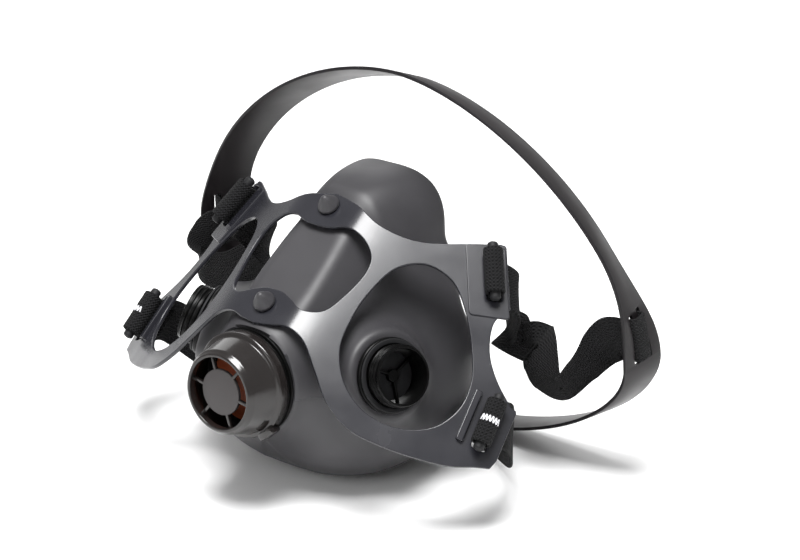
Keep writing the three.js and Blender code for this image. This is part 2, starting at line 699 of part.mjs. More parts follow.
function makeUpperStrap(side, name) {
  const loop = loopStations(UPPER_SLOT, side);
  const slot = ringSlot(side, RING_SLOT_OFFSET);
  const beforeSlot = (distance) => {
    const { x, y, z } = slot.point.clone().addScaledVector(slot.out, -BAND / 2 - distance);
    return { at: [x * side, y, z], wide: [slot.along.x * side, slot.along.y, slot.along.z] };
  };
  const route = [...UPPER_ROUTE[side], beforeSlot(9), beforeSlot(3.6)];
  const run = runStations(loop[loop.length - 1], route, side, 36);
  addPart(`upper_strap_${name}`, ribbon([...loop, ...run], WEB_WIDTH, WEB), 'webbing');
}

function makeNeckStrap(side, name) {
  const loop = loopStations(LOWER_SLOT, side);
  const run = runStations(loop[loop.length - 1], NECK_ROUTE, side, 24);
  addPart(`neck_strap_${name}`, ribbon([...loop, ...run], WEB_WIDTH, WEB), 'webbing');
}

// The stretch of an upper strap that is laced through the headpiece: out, across and back in.
function makeStrapEnd(side, name) {
  const first = ringSlot(side, RING_SLOT_OFFSET);
  const second = ringSlot(side, -RING_SLOT_OFFSET);
  const outward = BAND / 2 + GAP + 0.8;
  const at = ({ point, out }, height, shift = 0) => ({
    point: point.clone().addScaledVector(out, height).addScaledVector(first.width, shift),
    wide: first.along,
  });
  const stations = [
    at(first, -1.4), at(first, 0), at(first, outward - 0.5, -0.2), at(first, outward, -0.9),
    at(second, outward, 0.9), at(second, outward - 0.5, 0.2), at(second, 0), at(second, -1.6),
    at(second, -3.2, -1), at(second, -4.6, -4.5), at(second, -6, -10.5),
  ];
  addPart(`strap_end_${name}`, ribbon(stations, WEB_WIDTH, WEB - 0.3), 'webbing');
}

// ---------------------------------------------------------------- headpiece

const ringTurn = new THREE.Matrix4().makeRotationFromEuler(RING_TILT);

// The band flares out to the front over the crown and down the left side, and in at its foot.
function flareAt(angle) {
  const fromMiddle = abs(((angle - FLARE_MIDDLE + 3 * PI) % (2 * PI)) - PI);
  const share = THREE.MathUtils.smoothstep(FLARE_REACH - fromMiddle, 0, FLARE_FADE);
  return FOOT_FLARE + (RING_FLARE - FOOT_FLARE) * share;
}

// A place on the ring's middle line: position, direction along it, across its width and out of it.
function ringFrame(angle) {
  const across = cos(angle);
  const up = sin(angle);
  const tall = up > 0 ? RING_TOP : RING_BOTTOM;
  const round = 2 / RING_POWER;
  const place = vec(
    RING_HALF_WIDTH * sign(across) * abs(across) ** round,
    0,
    tall * sign(up) * abs(up) ** round,
  );
  const radial = vec(across / RING_HALF_WIDTH, 0, up / tall).normalize();
  const flare = flareAt(angle);
  const width = radial.clone().multiplyScalar(sin(flare)).add(vec(0, -cos(flare), 0));
  const out = radial.clone().multiplyScalar(cos(flare)).add(vec(0, sin(flare), 0));
  const turn = (v) => v.applyMatrix4(ringTurn);
  return { point: turn(place).add(RING_CENTRE), width: turn(width), out: turn(out) };
}

function ringSlot(side, shift) {
  const frame = ringFrame(RING_SLOT_ANGLE[side]);
  const along = frame.out.clone().cross(frame.width).normalize();
  if (along.z < 0) along.negate();
  frame.point.addScaledVector(frame.width, shift);
  return { ...frame, along };
}

// The band is wider at its strap slots.
function bandWidthAt(angle) {
  const turns = [RING_SLOT_ANGLE[RIGHT], RING_SLOT_ANGLE[RIGHT] + 2 * PI, RING_SLOT_ANGLE[LEFT]];
  const fromSlot = min(...turns.map((slot) => abs(angle - slot)));
  return BAND_WIDTH * (1 + 0.25 * exp(-((fromSlot / 0.2) ** 2)));
}

function makeHeadpiece() {
  const sections = [];
  for (let step = 0; step < RING_STEPS; step += 1) {
    const angle = (2 * PI * (step + 0.5)) / RING_STEPS;
    const { point, width, out } = ringFrame(angle);
    sections.push(rectangleAt(point, width, bandWidthAt(angle), out, BAND));
  }
  let solid = solidOf(loopedSolid(sections));
  for (const [side] of SIDES) {
    for (const shift of [RING_SLOT_OFFSET, -RING_SLOT_OFFSET]) {
      const { point, width, out, along } = ringSlot(side, shift);
      const cut = new THREE.BoxGeometry(RING_SLOT_WIDTH, 21.5, 12);
      const placed = new THREE.Matrix4().makeBasis(width, along, width.clone().cross(along));
      solid = solid.subtract(solidOf(cut.applyMatrix4(placed.setPosition(point))));
    }
  }
  addPart('headpiece', geometryOf(solid), 'band');
}

// ---------------------------------------------------------------- neck clasp

const CLASP_PLACE = vec(0, 43, 13.2);

function plate(width, thickness, height, x, y, z) {
  return solidOf(new THREE.BoxGeometry(width, thickness, height).translate(x, y, z));
}

// Each half has a webbing slot; the hook's tongue lies behind the loop's bar.
function makeClasp() {
  const { y, z } = CLASP_PLACE;
  const loopFrame = plate(12, 2.4, 24, 8, y + 0.2, z);
  const loop = loopFrame.subtract(plate(4, 8, 19.8, 10.4, y, z)).subtract(plate(3.4, 8, 14, 4.6, y, z));
  addPart('neck_clasp_loop', geometryOf(loop), 'gloss');
  const hookFrame = plate(9, 2.4, 24, -7.5, y + 0.2, z).subtract(plate(4, 8, 19.8, -8.4, y, z));
  const hook = hookFrame.add(plate(7.8, 1.8, 12, -1, y + 2.6, z)).add(plate(3, 3.6, 12, -3.8, y + 1.6, z));
  addPart('neck_clasp_hook', geometryOf(hook), 'gloss');
}

makeFacepiece();
for (const [side, name] of SIDES) makePort(side, name);
makeValve();
makeCradle();
for (const [side, name] of SIDES) {
  makeRod(UPPER_SLOT, side, `upper_rod_${name}`);
  makeRod(LOWER_SLOT, side, `lower_rod_${name}`);
  makeUpperStrap(side, name);
  makeStrapEnd(side, name);
  makeNeckStrap(side, name);
}
makeHeadpiece();
makeClasp();
model.position.copy(MODEL_SHIFT);

export default model;
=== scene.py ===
"""Looks of a half-mask respirator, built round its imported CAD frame.

Shapes are worked out in millimetres, in the mask's own place, and moved into the frame when a mesh is made.
"""
from math import cos, hypot, pi, radians, sin, sqrt

import bmesh
import bpy
import numpy as np
from numpy.linalg import norm
from mathutils import Matrix, Vector
from mathutils.geometry import delaunay_2d_cdt


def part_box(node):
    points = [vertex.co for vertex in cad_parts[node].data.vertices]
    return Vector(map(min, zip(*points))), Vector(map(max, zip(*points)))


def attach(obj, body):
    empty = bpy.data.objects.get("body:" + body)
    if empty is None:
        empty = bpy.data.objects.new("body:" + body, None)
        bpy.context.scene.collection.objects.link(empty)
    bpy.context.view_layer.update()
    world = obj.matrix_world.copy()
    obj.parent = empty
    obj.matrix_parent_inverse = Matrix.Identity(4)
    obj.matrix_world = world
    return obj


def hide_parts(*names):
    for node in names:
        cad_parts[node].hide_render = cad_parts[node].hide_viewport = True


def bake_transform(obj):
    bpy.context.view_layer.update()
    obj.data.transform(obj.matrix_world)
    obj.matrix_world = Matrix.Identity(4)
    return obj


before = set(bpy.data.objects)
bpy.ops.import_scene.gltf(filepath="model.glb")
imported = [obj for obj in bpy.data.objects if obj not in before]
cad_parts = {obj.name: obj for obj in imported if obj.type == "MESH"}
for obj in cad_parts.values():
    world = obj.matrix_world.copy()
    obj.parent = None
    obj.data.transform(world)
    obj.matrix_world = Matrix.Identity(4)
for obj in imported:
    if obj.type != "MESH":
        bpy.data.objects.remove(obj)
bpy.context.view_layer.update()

MM = 0.001
RIGHT, LEFT = 1, -1
SIDES = ((LEFT, "left"), (RIGHT, "right"))


def vec(x, y, z):
    return np.array([x, y, z], float)


def unit(v):
    return v / norm(v, axis=-1, keepdims=True)


def mirrored(v, side):
    return np.array(v) * (side, 1, 1)


# ---------------- driving dimensions

PLATE_ORIGIN = vec(0, -42, 82)
PLATE_UP = unit(vec(0, 0.817, 0.577))
PLATE_OUT = vec(0, -PLATE_UP[2], PLATE_UP[1])
PLATE_DEPTH = 3.2
BUTTON_SPACING = 50.3
BUTTON_HOLE_RADIUS = 3.4

WALL = 2.2
SHELL_CENTRE = vec(0, 3, 52)
SHELL_COLUMNS = 320
SHELL_ROWS = 118
SHELL_CLEAR = 130.0
LIP_RADIUS = 4.2
LIP_REACH = 4
LIP_TURN = 2.5
BODY_CENTRE = vec(0, 5, 49)
BODY_RADII = vec(55.5, 52, 50)
BODY_UPPER_RADII = vec(55.5, 54, 66)
NOSE_CENTRE = vec(0, 42, 80)
NOSE_RADII = vec(31, 56, 39.5)
BLOB_SCALE = 45
BLOB_POWER = 2.6
RIM_KNOTS = ((-90, 99), (-20, 115), (15, 116), (52, 122), (90, 117))

PORT_PLACE = vec(46.2, -21.2, 55.7)
PORT_OUT = unit(vec(0.896, -0.315, 0.314))
PORT_BOSS_RADIUS = 18
PORT_HOLE_RADIUS = 12.6
PORT_SEAT_RADIUS = 15.7
GASKET_MIDDLE = 3.3
VALVE_PLACE = vec(0, -51, 51.6)
VALVE_OUT = unit(vec(0, -1, 0.08))
VALVE_BOSS_RADIUS = 22.5
VALVE_HOLE_RADIUS = 16.2
VALVE_SEAT_RADIUS = 22.3
BOSS_DEPTH = 40
HOLE_DEPTH = 8
GUARD_DEPTH = 20.8
GUARD_TURN = 0.89
LATCH_TURN = 0.75
GAP = 0.3
ROUND_STEPS = 96

SHEET = 1.6
BEND_START = 17
BEND_SOFTNESS = 5
BEND_SLOPE = 0.645
BEND_TWIST = 0.0008
UPPER_SLOT = (66, 55.9, 0.458, -0.889)
LOWER_SLOT = (89, 0.5, 0.087, -0.996)
TAB_SLOT_LENGTH = 21
TAB_SLOT_WIDTH = 5

WEB_WIDTH = 19
WEB = 1.5
ROD_RADIUS = 2.2
ROD_LENGTH = 25
ROD_HEIGHT = 4.6
LOOP_RADIUS = 3.4
LAYER_OFFSET = 1.15

BAND = 1.5
BAND_WIDTH = 19
RING_CENTRE = vec(6.4, 53, 61)
RING_HALF_WIDTH = 113
RING_TOP = 98
RING_BOTTOM = 60.1
RING_POWER = 1.76
RING_FLARE, FOOT_FLARE = 0.5, -0.21
FLARE_MIDDLE, FLARE_REACH, FLARE_FADE = 2.04, 2.19, 0.7
RING_LEAN, RING_ROLL, RING_YAW = 0.138, 0.05, -0.033
RING_STEPS = 360
RING_SLOT_ANGLE = {RIGHT: 0.16, LEFT: pi - 0.04}
RING_SLOT_OFFSET = 3.8
RING_SLOT_WIDTH = 3.2
RING_SLOT_LENGTH = 21.5
SLOT_SWELL, SLOT_SWELL_REACH = 0.25, 0.2


def frame_shift():
    """How far the CAD frame lies from the mask's own place: the two port gaskets say where they are."""
    low_left, high_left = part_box("port_gasket_left")
    low_right, high_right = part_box("port_gasket_right")
    middle = (np.array(low_left) + high_left + low_right + high_right) / 4 / MM
    gasket = PORT_PLACE + PORT_OUT * GASKET_MIDDLE
    return middle - gasket * (0, 1, 1)


SHIFT = frame_shift()


# ---------------- materials

PATCH_SCALE = 60
RELIEF_DEPTH = 0.00008


def add_node(made, kind, values, sources, **settings):
    """A node in a material, with its settings, the values of its inputs and what feeds its other inputs."""
    tree = made.node_tree
    node = tree.nodes.new("ShaderNode" + kind)
    for name, value in settings.items():
        setattr(node, name, value)
    for name, value in values.items():
        node.inputs[name].default_value = value
    for name, source in sources.items():
        tree.links.new(source, node.inputs[name])
    return node


def mixed(made, share, first, second):
    """A colour that goes from the first to the second with the share."""
    ends = {"A": (*first, 1), "B": (*second, 1)}
    return add_node(made, "Mix", ends, {"Factor": share}, data_type="RGBA").outputs["Result"]


def feed_shader(made, sources):
    for name, source in sources.items():
        made.node_tree.links.new(source, made.node_tree.nodes["Principled BSDF"].inputs[name])


def material(name, colour, roughness, colour_spread=0.15, roughness_spread=0.08, grain=900, bump=0.15,
             specular=0.5):
    """A moulded surface: slow patches in its colour and gloss, and a fine grain in its relief."""
    made = bpy.data.materials.new(name)
    made.use_nodes = True
    place = add_node(made, "TexCoord", {}, {}).outputs["Object"]
    patchy = {"Scale": PATCH_SCALE, "Detail": 5}
    patches = add_node(made, "TexNoise", patchy, {"Vector": place}).outputs["Fac"]
    darker, lighter = ([c * (1 + way * colour_spread) for c in colour] for way in (-1, 1))
    glosses = {"To Min": roughness - roughness_spread, "To Max": roughness + roughness_spread}
    gloss = add_node(made, "MapRange", {"From Min": 0.3, "From Max": 0.7, **glosses}, {"Value": patches})
    fine = add_node(made, "TexNoise", {"Scale": grain, "Detail": 3}, {"Vector": place}).outputs["Fac"]
    relief = add_node(made, "Bump", {"Strength": bump, "Distance": RELIEF_DEPTH}, {"Height": fine})
    feed_shader(made, {
        "Base Color": mixed(made, patches, darker, lighter),
        "Roughness": gloss.outputs["Result"],
        "Normal": relief.outputs["Normal"],
    })
    made.node_tree.nodes["Principled BSDF"].inputs["Specular IOR Level"].default_value = specular
    return made


def webbing_material():
    """Elastic webbing: ribs along its length, and picks across them that step from rib to rib, with painted
    shade that darkens the weave's low places.
    """
    rib_pitch, pick_pitch = 1.5, 1.3
    made = material("webbing", (0.005, 0.005, 0.005), 0.9, grain=2500, bump=0.3, specular=0.25)
    place = add_node(made, "UVMap", {}, {}, uv_map="cloth").outputs["UV"]
    parts = add_node(made, "SeparateXYZ", {}, {"Vector": place}).outputs

    def wave(source, pitch):
        turn = add_node(made, "Math", {1: 2 * pi / pitch}, {0: source}, operation="MULTIPLY")
        return add_node(made, "Math", {}, {0: turn.outputs[0]}, operation="SINE").outputs[0]

    picks, ribs = wave(parts["X"], pick_pitch), wave(parts["Y"], rib_pitch)
    weave = add_node(made, "Math", {}, {0: picks, 1: ribs}, operation="MULTIPLY").outputs[0]
    height = add_node(made, "Math", {1: 0.5}, {0: ribs, 2: weave}, operation="MULTIPLY_ADD").outputs[0]
    under = made.node_tree.nodes["Bump"].outputs["Normal"]
    deep = {"Strength": 0.9, "Distance": 0.00035}
    relief = add_node(made, "Bump", deep, {"Height": height, "Normal": under})
    # Painted shade: the weave's height sets its colour, so its hollows are darker and its raised yarns
    # lighter.
    share = add_node(made, "MapRange", {"From Min": -1.2, "From Max": 1.2}, {"Value": height})
    feed_shader(made, {
        "Base Color": mixed(made, share.outputs["Result"], (0.001, 0.001, 0.001), (0.011, 0.011, 0.012)),
        "Normal": relief.outputs["Normal"],
    })
    return made


ELASTOMER = material("elastomer", (0.026, 0.025, 0.028), 0.5, 0.08, 0.05, grain=1600, bump=0.12)
CRADLE = material("cradle", (0.015, 0.015, 0.019), 0.24, 0.12, 0.04, grain=1100, bump=0.1)
GLOSS = material("gloss", (0.012, 0.010, 0.0095), 0.18, 0.2, 0.05, grain=500, bump=0.05)
# Black plastic of the ports and the valve seat. It is painted shade: it is darker and less reflective than
# the gloss, to stand for the shade in the port bores and behind the guard and for their dark reflections.
SHADED_PORT_BLACK = material("port_black_painted_shade", (0.002, 0.002, 0.002), 0.3, 0.2, 0.05, grain=500, bump=0.05, specular=0.1)
HUB = material("hub", (0.026, 0.022, 0.022), 0.5, 0.1, 0.05, grain=2200, bump=0.3)
RUBBER = material("rubber", (0.007, 0.007, 0.008), 0.62, 0.1, 0.06, grain=1800, specular=0.3)
FLAP = material("flap", (0.30, 0.062, 0.018), 0.5, 0.12, 0.05, grain=900)
BAND_FACE = material("band", (0.014, 0.012, 0.013), 0.36, 0.12, 0.05, grain=900, bump=0.1, specular=0.15)
BAND_EDGE = material("band_edge", (0.006, 0.005, 0.006), 0.45, 0.1, 0.05, grain=900, specular=0.3)
WEBBING = webbing_material()
STITCH = material("stitch", (0.62, 0.62, 0.64), 0.8, 0.15, 0.05, grain=3000, bump=0.4)


# ---------------- meshes

SMOOTH_ANGLE = radians(35)
WELD_DISTANCE = 0.002


def add_object(name, data):
    made = bpy.data.objects.new(name, data)
    bpy.context.scene.collection.objects.link(made)
    return made


def make_object(name, points, faces, skins, skin_of=None, cloth=None):
    """A mesh from points in mm. skin_of gives each face's material, cloth each point's place on the cloth."""
    mesh = bpy.data.meshes.new(name)
    placed = (np.asarray(points, float) + SHIFT) * MM
    mesh.from_pydata(placed.tolist(), [], [list(map(int, face)) for face in faces])
    for skin in skins:
        mesh.materials.append(skin)
    if skin_of is not None:
        mesh.polygons.foreach_set("material_index", np.asarray(skin_of, np.int32))
    if cloth is not None:
        corners = np.empty(len(mesh.loops), np.int32)
        mesh.loops.foreach_get("vertex_index", corners)
        layer = mesh.uv_layers.new(name="cloth")
        layer.data.foreach_set("uv", np.asarray(cloth, float)[corners].ravel())
    mesh.shade_smooth()
    mesh.set_sharp_from_angle(angle=SMOOTH_ANGLE)
    return add_object(name, mesh)


def face_outward(made):
    """Turns every face of each closed shell to look outward."""
    shape = bmesh.new()
    shape.from_mesh(made.data)
    bmesh.ops.recalc_face_normals(shape, faces=shape.faces)
    shape.to_mesh(made.data)
    shape.free()
    made.data.set_sharp_from_angle(angle=SMOOTH_ANGLE)
    return made


def stand_for(made, body, slot, *nodes):
    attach(made, body)
    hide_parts(*nodes)


def joined(shapes):
    """Several (points, faces) shapes as one, with the number of each face's shape."""
    points, faces, which = [], [], []
    count = 0
    for number, (shape_points, shape_faces) in enumerate(shapes):
        points.extend(shape_points)
        faces.extend([[i + count for i in face] for face in shape_faces])
        which.extend([number] * len(shape_faces))
        count += len(shape_points)
    return np.array(points), faces, which


def axes_at(out):
    """A level direction and an upward one, both square to out."""
    level = unit(np.cross(out, vec(0, 0, 1))) * -1
    return level, np.cross(level, out)


def softened(profile, radius, steps=3, closed=True):
    """A profile whose corners are rounded, each by at most a third of its shorter side."""
    profile = np.array(profile, float)
    count = len(profile)
    rounded = []
    for i, corner in enumerate(profile):
        if not closed and i in (0, count - 1):
            rounded.append(corner)
            continue
        before, after = profile[i - 1] - corner, profile[(i + 1) % count] - corner
        reach = min(radius, norm(before) / 3, norm(after) / 3)
        start, end = corner + unit(before) * reach, corner + unit(after) * reach
        for step in range(steps + 1):
            t = step / steps
            rounded.append(start * (1 - t) ** 2 + corner * 2 * t * (1 - t) + end * t * t)
    return rounded


def grid_faces(rows, columns, wraps=False):
    """The quads of a grid whose columns go round, and whose rows do too where it wraps."""
    row, column = np.meshgrid(np.arange(rows if wraps else rows - 1), np.arange(columns), indexing="ij")
    after, beside = (row + 1) % rows, (column + 1) % columns
    corners = [(row, column), (row, beside), (after, beside), (after, column)]
    return np.stack([r * columns + c for r, c in corners], -1).reshape(-1, 4).tolist()


def tube_faces(rows, columns):
    """The sides of a tube of rings, and its two ends."""
    ends = [list(range(columns))[::-1], list(range((rows - 1) * columns, rows * columns))]
    return grid_faces(rows, columns) + ends


def turned(profile, axis, corner=0.0, steps=ROUND_STEPS, radius_at=None):
    """A turned solid about an axis, a (place, direction) pair, with its profile's corners rounded.

    The profile's [radius, height] pairs start and end on the axis or go round a closed section.
    """
    place, out = axis
    hollow = profile[0][0] > 0
    if corner:
        profile = softened(profile, corner, closed=hollow)
    level, up = axes_at(out)
    radius, height = np.array(profile, float).T
    angle = 2 * pi * np.arange(steps) / steps
    grid_radius = np.repeat(radius[:, None], steps, 1)
    if radius_at is not None:
        grid_radius = radius_at(grid_radius, height[:, None], angle[None, :])
    around = np.cos(angle)[:, None] * level + np.sin(angle)[:, None] * up
    points = place + out * height[:, None, None] + around[None] * grid_radius[:, :, None]
    return points.reshape(-1, 3), grid_faces(len(profile), steps, wraps=hollow)


def welded(made, distance=WELD_DISTANCE):
    """Joins corners that lie on each other, and drops the slivers that leaves."""
    shape = bmesh.new()
    shape.from_mesh(made.data)
    bmesh.ops.remove_doubles(shape, verts=shape.verts, dist=distance * MM)
    bmesh.ops.dissolve_degenerate(shape, edges=shape.edges, dist=distance * MM / 4)
    shape.to_mesh(made.data)
    shape.free()
    return face_outward(made)


def build_piece(name, shape, skins, body, slot, node, skin_of=None):
    """A welded mesh from (points, faces, ...) that stands for a node."""
    made = welded(make_object(name, *shape[:2], skins, skin_of))
    stand_for(made, body, slot, node)


def disc(radius, low, high, axis, corner=0.3):
    return turned([[0, low], [radius, low], [radius, high], [0, high]], axis, corner)


def block(size, middle, axes, corner=0.3):
    """A box with chamfered edges. Axes are its three unit directions."""
    half = np.array(size, float) / 2
    shape = bmesh.new()
    bmesh.ops.create_cube(shape, size=2)
    for vertex in shape.verts:
        vertex.co = Vector(np.array(vertex.co) * half)
    bmesh.ops.bevel(shape, geom=shape.edges[:], offset=corner, segments=2, profile=0.5, affect="EDGES")
    points = [middle + np.array(vertex.co) @ np.array(axes) for vertex in shape.verts]
    faces = [[vertex.index for vertex in face.verts] for face in shape.faces]
    shape.free()
    return np.array(points), faces


def spokes(count, reach, thickness, low, high, axis, first=pi / 6):
    """Bars from the axis outward, the first at an angle round from level."""
    place, out = axis
    level, up = axes_at(out)
    bars = []
    for spoke in range(count):
        angle = 2 * pi * spoke / count + first
        along = level * cos(angle) - up * sin(angle)
        middle = place + out * (low + high) / 2 + along * reach / 2
        bars.append(block((reach, high - low, thickness), middle, (along, out, np.cross(along, out)), 0.25))
    return bars


# ---------------- facepiece

def in_both(a, b, soft):
    """The overlap of two distance fields, rounded where they meet."""
    near = np.maximum(soft - np.abs(a - b), 0) / soft
    return np.maximum(a, b) + near * near * soft / 4


def in_either(a, b, soft):
    return -in_both(-a, -b, soft)


def beyond_plane(points, normal, on):
    return (points - on) @ unit(np.array(normal, float))


def beyond_blob(points, centre, radii):
    parts = (np.abs((points - centre) / radii) ** BLOB_POWER).sum(-1)
    return (parts ** (1 / BLOB_POWER) - 1) * BLOB_SCALE


def along_axis(points, place, out):
    """How far points are along an axis, and how far off it."""
    offset = points - place
    height = offset @ out
    return height, norm(offset - height[..., None] * out, axis=-1)


def beyond_boss(points, place, out, radius, spread):
    """How far points are from a boss that widens by the spread as it goes down."""
    height, distance = along_axis(points, place, out)
    side = (distance - radius + height * spread) / hypot(1, spread)
    return in_both(in_both(side, height, 2), -height - BOSS_DEPTH, 2)


def plate_point(x, s, n):
    return PLATE_ORIGIN + vec(1, 0, 0) * x + PLATE_UP * s + PLATE_OUT * n


FLANK = ((0.8, -0.25, 0.54), vec(15, -20, 93.5))
PLATE_SIDE = ((0.807, -0.34, 0.482), plate_point(14.5, 25, -PLATE_DEPTH))
PLATE = (PLATE_OUT, plate_point(0, 0, -PLATE_DEPTH))
NOSE_FACET = ((0.8, -0.33, 0.5), vec(13, 6, 114))
NOSE_FRONT = ((0, -0.986, 0.148), plate_point(0, 58.3, -1.5))
NOSE_FOOT = ((0, 0, -1), vec(0, 0, 68))
TABLE = ((0, 0, -1), vec(0, 0, 0))


def shell(points):
    """How far points are from the facepiece's outer skin: negative inside."""
    half = points.copy()
    half[..., 0] = np.sqrt(points[..., 0] ** 2 + 0.01)
    radii = np.where(half[..., 2:] > BODY_CENTRE[2], BODY_UPPER_RADII, BODY_RADII)
    body = beyond_blob(half, BODY_CENTRE, radii)
    side = in_both(beyond_plane(half, *FLANK), beyond_plane(half, *PLATE_SIDE), 2)
    main = in_both(in_both(body, side, 10), beyond_plane(half, *PLATE), 3)
    nose = beyond_blob(half, NOSE_CENTRE, NOSE_RADII)
    for facet, soft in ((NOSE_FACET, 6), (NOSE_FRONT, 5), (NOSE_FOOT, 4)):
        nose = in_both(nose, beyond_plane(half, *facet), soft)
    valve = beyond_boss(half, VALVE_PLACE, VALVE_OUT, VALVE_BOSS_RADIUS, 0.22)
    port = beyond_boss(half, PORT_PLACE, PORT_OUT, PORT_BOSS_RADIUS, 0.45)
    whole = in_either(in_either(in_either(main, nose, 2), valve, 7), port, 6)
    whole = in_both(whole, beyond_plane(half, *TABLE), 0.5)
    seats = ((VALVE_PLACE, VALVE_OUT, VALVE_SEAT_RADIUS), (PORT_PLACE, PORT_OUT, PORT_SEAT_RADIUS))
    for place, out, radius in seats:
        height, distance = along_axis(half, place, out)
        whole = np.maximum(whole, np.minimum(radius - distance, height))
    return whole


def shell_normal(points):
    step = 0.05
    slopes = []
    for axis in np.eye(3):
        slopes.append(shell(points + axis * step) - shell(points - axis * step))
    return unit(np.stack(slopes, -1))


def skin_along(directions, depth):
    """The outermost points at a depth under the skin, along rays from the shell's centre."""
    step = 2.5
    outside = np.full(directions.shape[:-1], SHELL_CLEAR)
    going = np.ones_like(outside, bool)
    while going.any():
        going &= shell(SHELL_CENTRE + directions * outside[..., None]) > -depth
        outside[going] -= step
    inside = outside.copy()
    outside += step
    for _ in range(22):
        middle = (inside + outside) / 2
        within = shell(SHELL_CENTRE + directions * middle[..., None]) < -depth
        inside = np.where(within, middle, inside)
        outside = np.where(within, outside, middle)
    return SHELL_CENTRE + directions * inside[..., None]


def rim_reach(up):
    """How far round from the valve the shell reaches, in degrees, by the angle up from the side."""
    knots = np.array(RIM_KNOTS, float)
    part_of = np.clip(np.searchsorted(knots[:, 0], up, side="left") - 1, 0, len(knots) - 2)
    start, end = knots[part_of], knots[part_of + 1]
    part = (up - start[:, 0]) / (end[:, 0] - start[:, 0])
    return start[:, 1] + (end[:, 1] - start[:, 1]) * (3 - 2 * part) * part * part


def shell_layers():
    """Outer and inner points by row and column, from the valve out to the turned-in lip."""
    turn = -pi / 2 + 2 * pi * np.arange(SHELL_COLUMNS) / SHELL_COLUMNS
    reach = np.radians(rim_reach(np.degrees(np.arcsin(np.sin(turn)))))
    bend = reach[None, :] * np.arange(1, SHELL_ROWS + 1)[:, None] / SHELL_ROWS
    sideways, upward = np.sin(bend) * np.cos(turn), np.sin(bend) * np.sin(turn)
    directions = np.stack([sideways, -np.cos(bend), upward], -1)
    outer = skin_along(directions, 0)
    inner = skin_along(directions, WALL)
    normal = shell_normal(outer[-1])
    back = outer[-1] - outer[-2]
    back = unit(back - (back * normal).sum(-1, keepdims=True) * normal)
    curl_centre = outer[-1] - normal * LIP_RADIUS
    outer_rows, inner_rows = list(outer), list(inner[:-1]) + [outer[-1] - normal * WALL]
    curl_steps = 14
    for step in range(1, curl_steps + 1):
        curl = LIP_TURN * step / curl_steps
        facing = normal * cos(curl) + back * sin(curl)
        outer_rows.append(curl_centre + facing * LIP_RADIUS)
        inner_rows.append(outer_rows[-1] - facing * WALL)
    inward = -normal * sin(LIP_TURN) + back * cos(LIP_TURN)
    for share in (0.35, 0.7, 1):
        outer_rows.append(outer_rows[curl_steps + SHELL_ROWS - 1] + inward * LIP_REACH * share)
        inner_rows.append(outer_rows[-1] - facing * WALL)
    return np.array(outer_rows), np.array(inner_rows)


def facepiece_holes():
    holes = [(VALVE_PLACE, VALVE_OUT, VALVE_HOLE_RADIUS)]
    for side, _ in SIDES:
        holes.append((mirrored(PORT_PLACE, side), mirrored(PORT_OUT, side), PORT_HOLE_RADIUS))
    return holes


def open_rim(quads):
    """The edges, as (from, to) pairs, that only one quad has."""
    pairs = np.concatenate([quads[:, [i, (i + 1) % 4]] for i in range(4)]).tolist()
    known = {tuple(pair) for pair in pairs}
    return [(a, b) for a, b in pairs if (b, a) not in known]


def make_facepiece():
    """Both skins with the three holes cut through, each hole's edge drawn onto its circle."""
    outer, inner = shell_layers()
    rows, columns = outer.shape[:2]
    count = rows * columns
    points = np.concatenate([outer.reshape(-1, 3), inner.reshape(-1, 3)])
    quads = np.array(grid_faces(rows, columns))
    keep = np.ones(len(quads), bool)
    for place, out, radius in facepiece_holes():
        height, distance = along_axis(points[:count], place, out)
        inside = (distance < radius) & (np.abs(height) < HOLE_DEPTH)
        keep &= ~inside[quads].any(1)
    quads = quads[keep]
    rim = open_rim(quads)
    faces = quads.tolist() + (quads[:, ::-1] + count).tolist()
    faces += [[b, a, a + count, b + count] for a, b in rim]
    for a in {a for a, _ in rim if a // columns < rows - 1}:
        for place, out, radius in facepiece_holes():
            for i in (a, a + count):
                height, distance = along_axis(points[i], place, out)
                if distance < radius + 4 and abs(height) < HOLE_DEPTH:
                    foot = place + out * height
                    points[i] = foot + (points[i] - foot) / distance * radius
    return points, faces


def button_shape(s):
    stem = [[0, -PLATE_DEPTH - 1.5], [3, -PLATE_DEPTH - 1.5], [3, 0.4], [4.6, 0.4]]
    head = [[4.6, 1.5], [3.5, 3.1], [2.2, 4.9], [0.9, 6.2], [0, 6.5]]
    return turned(stem + head, (plate_point(0, s, 0), PLATE_OUT), 0.5, steps=48)


def build_facepiece():
    """The facepiece and its two buttons, without the points that the holes leave over."""
    points, faces, _ = joined([make_facepiece(), button_shape(0), button_shape(BUTTON_SPACING)])
    used = np.zeros(len(points), bool)
    used[np.unique(np.concatenate([np.array(face) for face in faces]))] = True
    renumber = np.cumsum(used) - 1
    faces = [[renumber[i] for i in face] for face in faces]
    made = welded(make_object("facepiece_skin", points[used], faces, [ELASTOMER]), 0.001)
    stand_for(made, "mask", "elastomer", "facepiece")


# ---------------- ports and valve

BARREL_RADIUS = 12
THREAD_LOW, THREAD_HIGH, THREAD_PITCH, THREAD_DEPTH = 4.2, 10.2, 2.1, 0.6
NUT_TOP = -WALL - GAP - 0.2
NUT_FOOT = NUT_TOP - 2.4


def threaded(radius, height, angle):
    """Raises a helical ridge on the barrel's outside."""
    phase = (height / THREAD_PITCH - angle / (2 * pi)) % 1
    ridge = np.clip(1.6 - np.abs(phase - 0.5) * 6, 0, 1)
    fade = np.clip((height - THREAD_LOW) / 0.8, 0, 1) * np.clip((THREAD_HIGH - height) / 0.8, 0, 1)
    outside = (np.abs(radius - BARREL_RADIUS) < 0.1) & (height > THREAD_LOW) & (height < THREAD_HIGH)
    return radius + np.where(outside, THREAD_DEPTH * ridge * fade, 0)


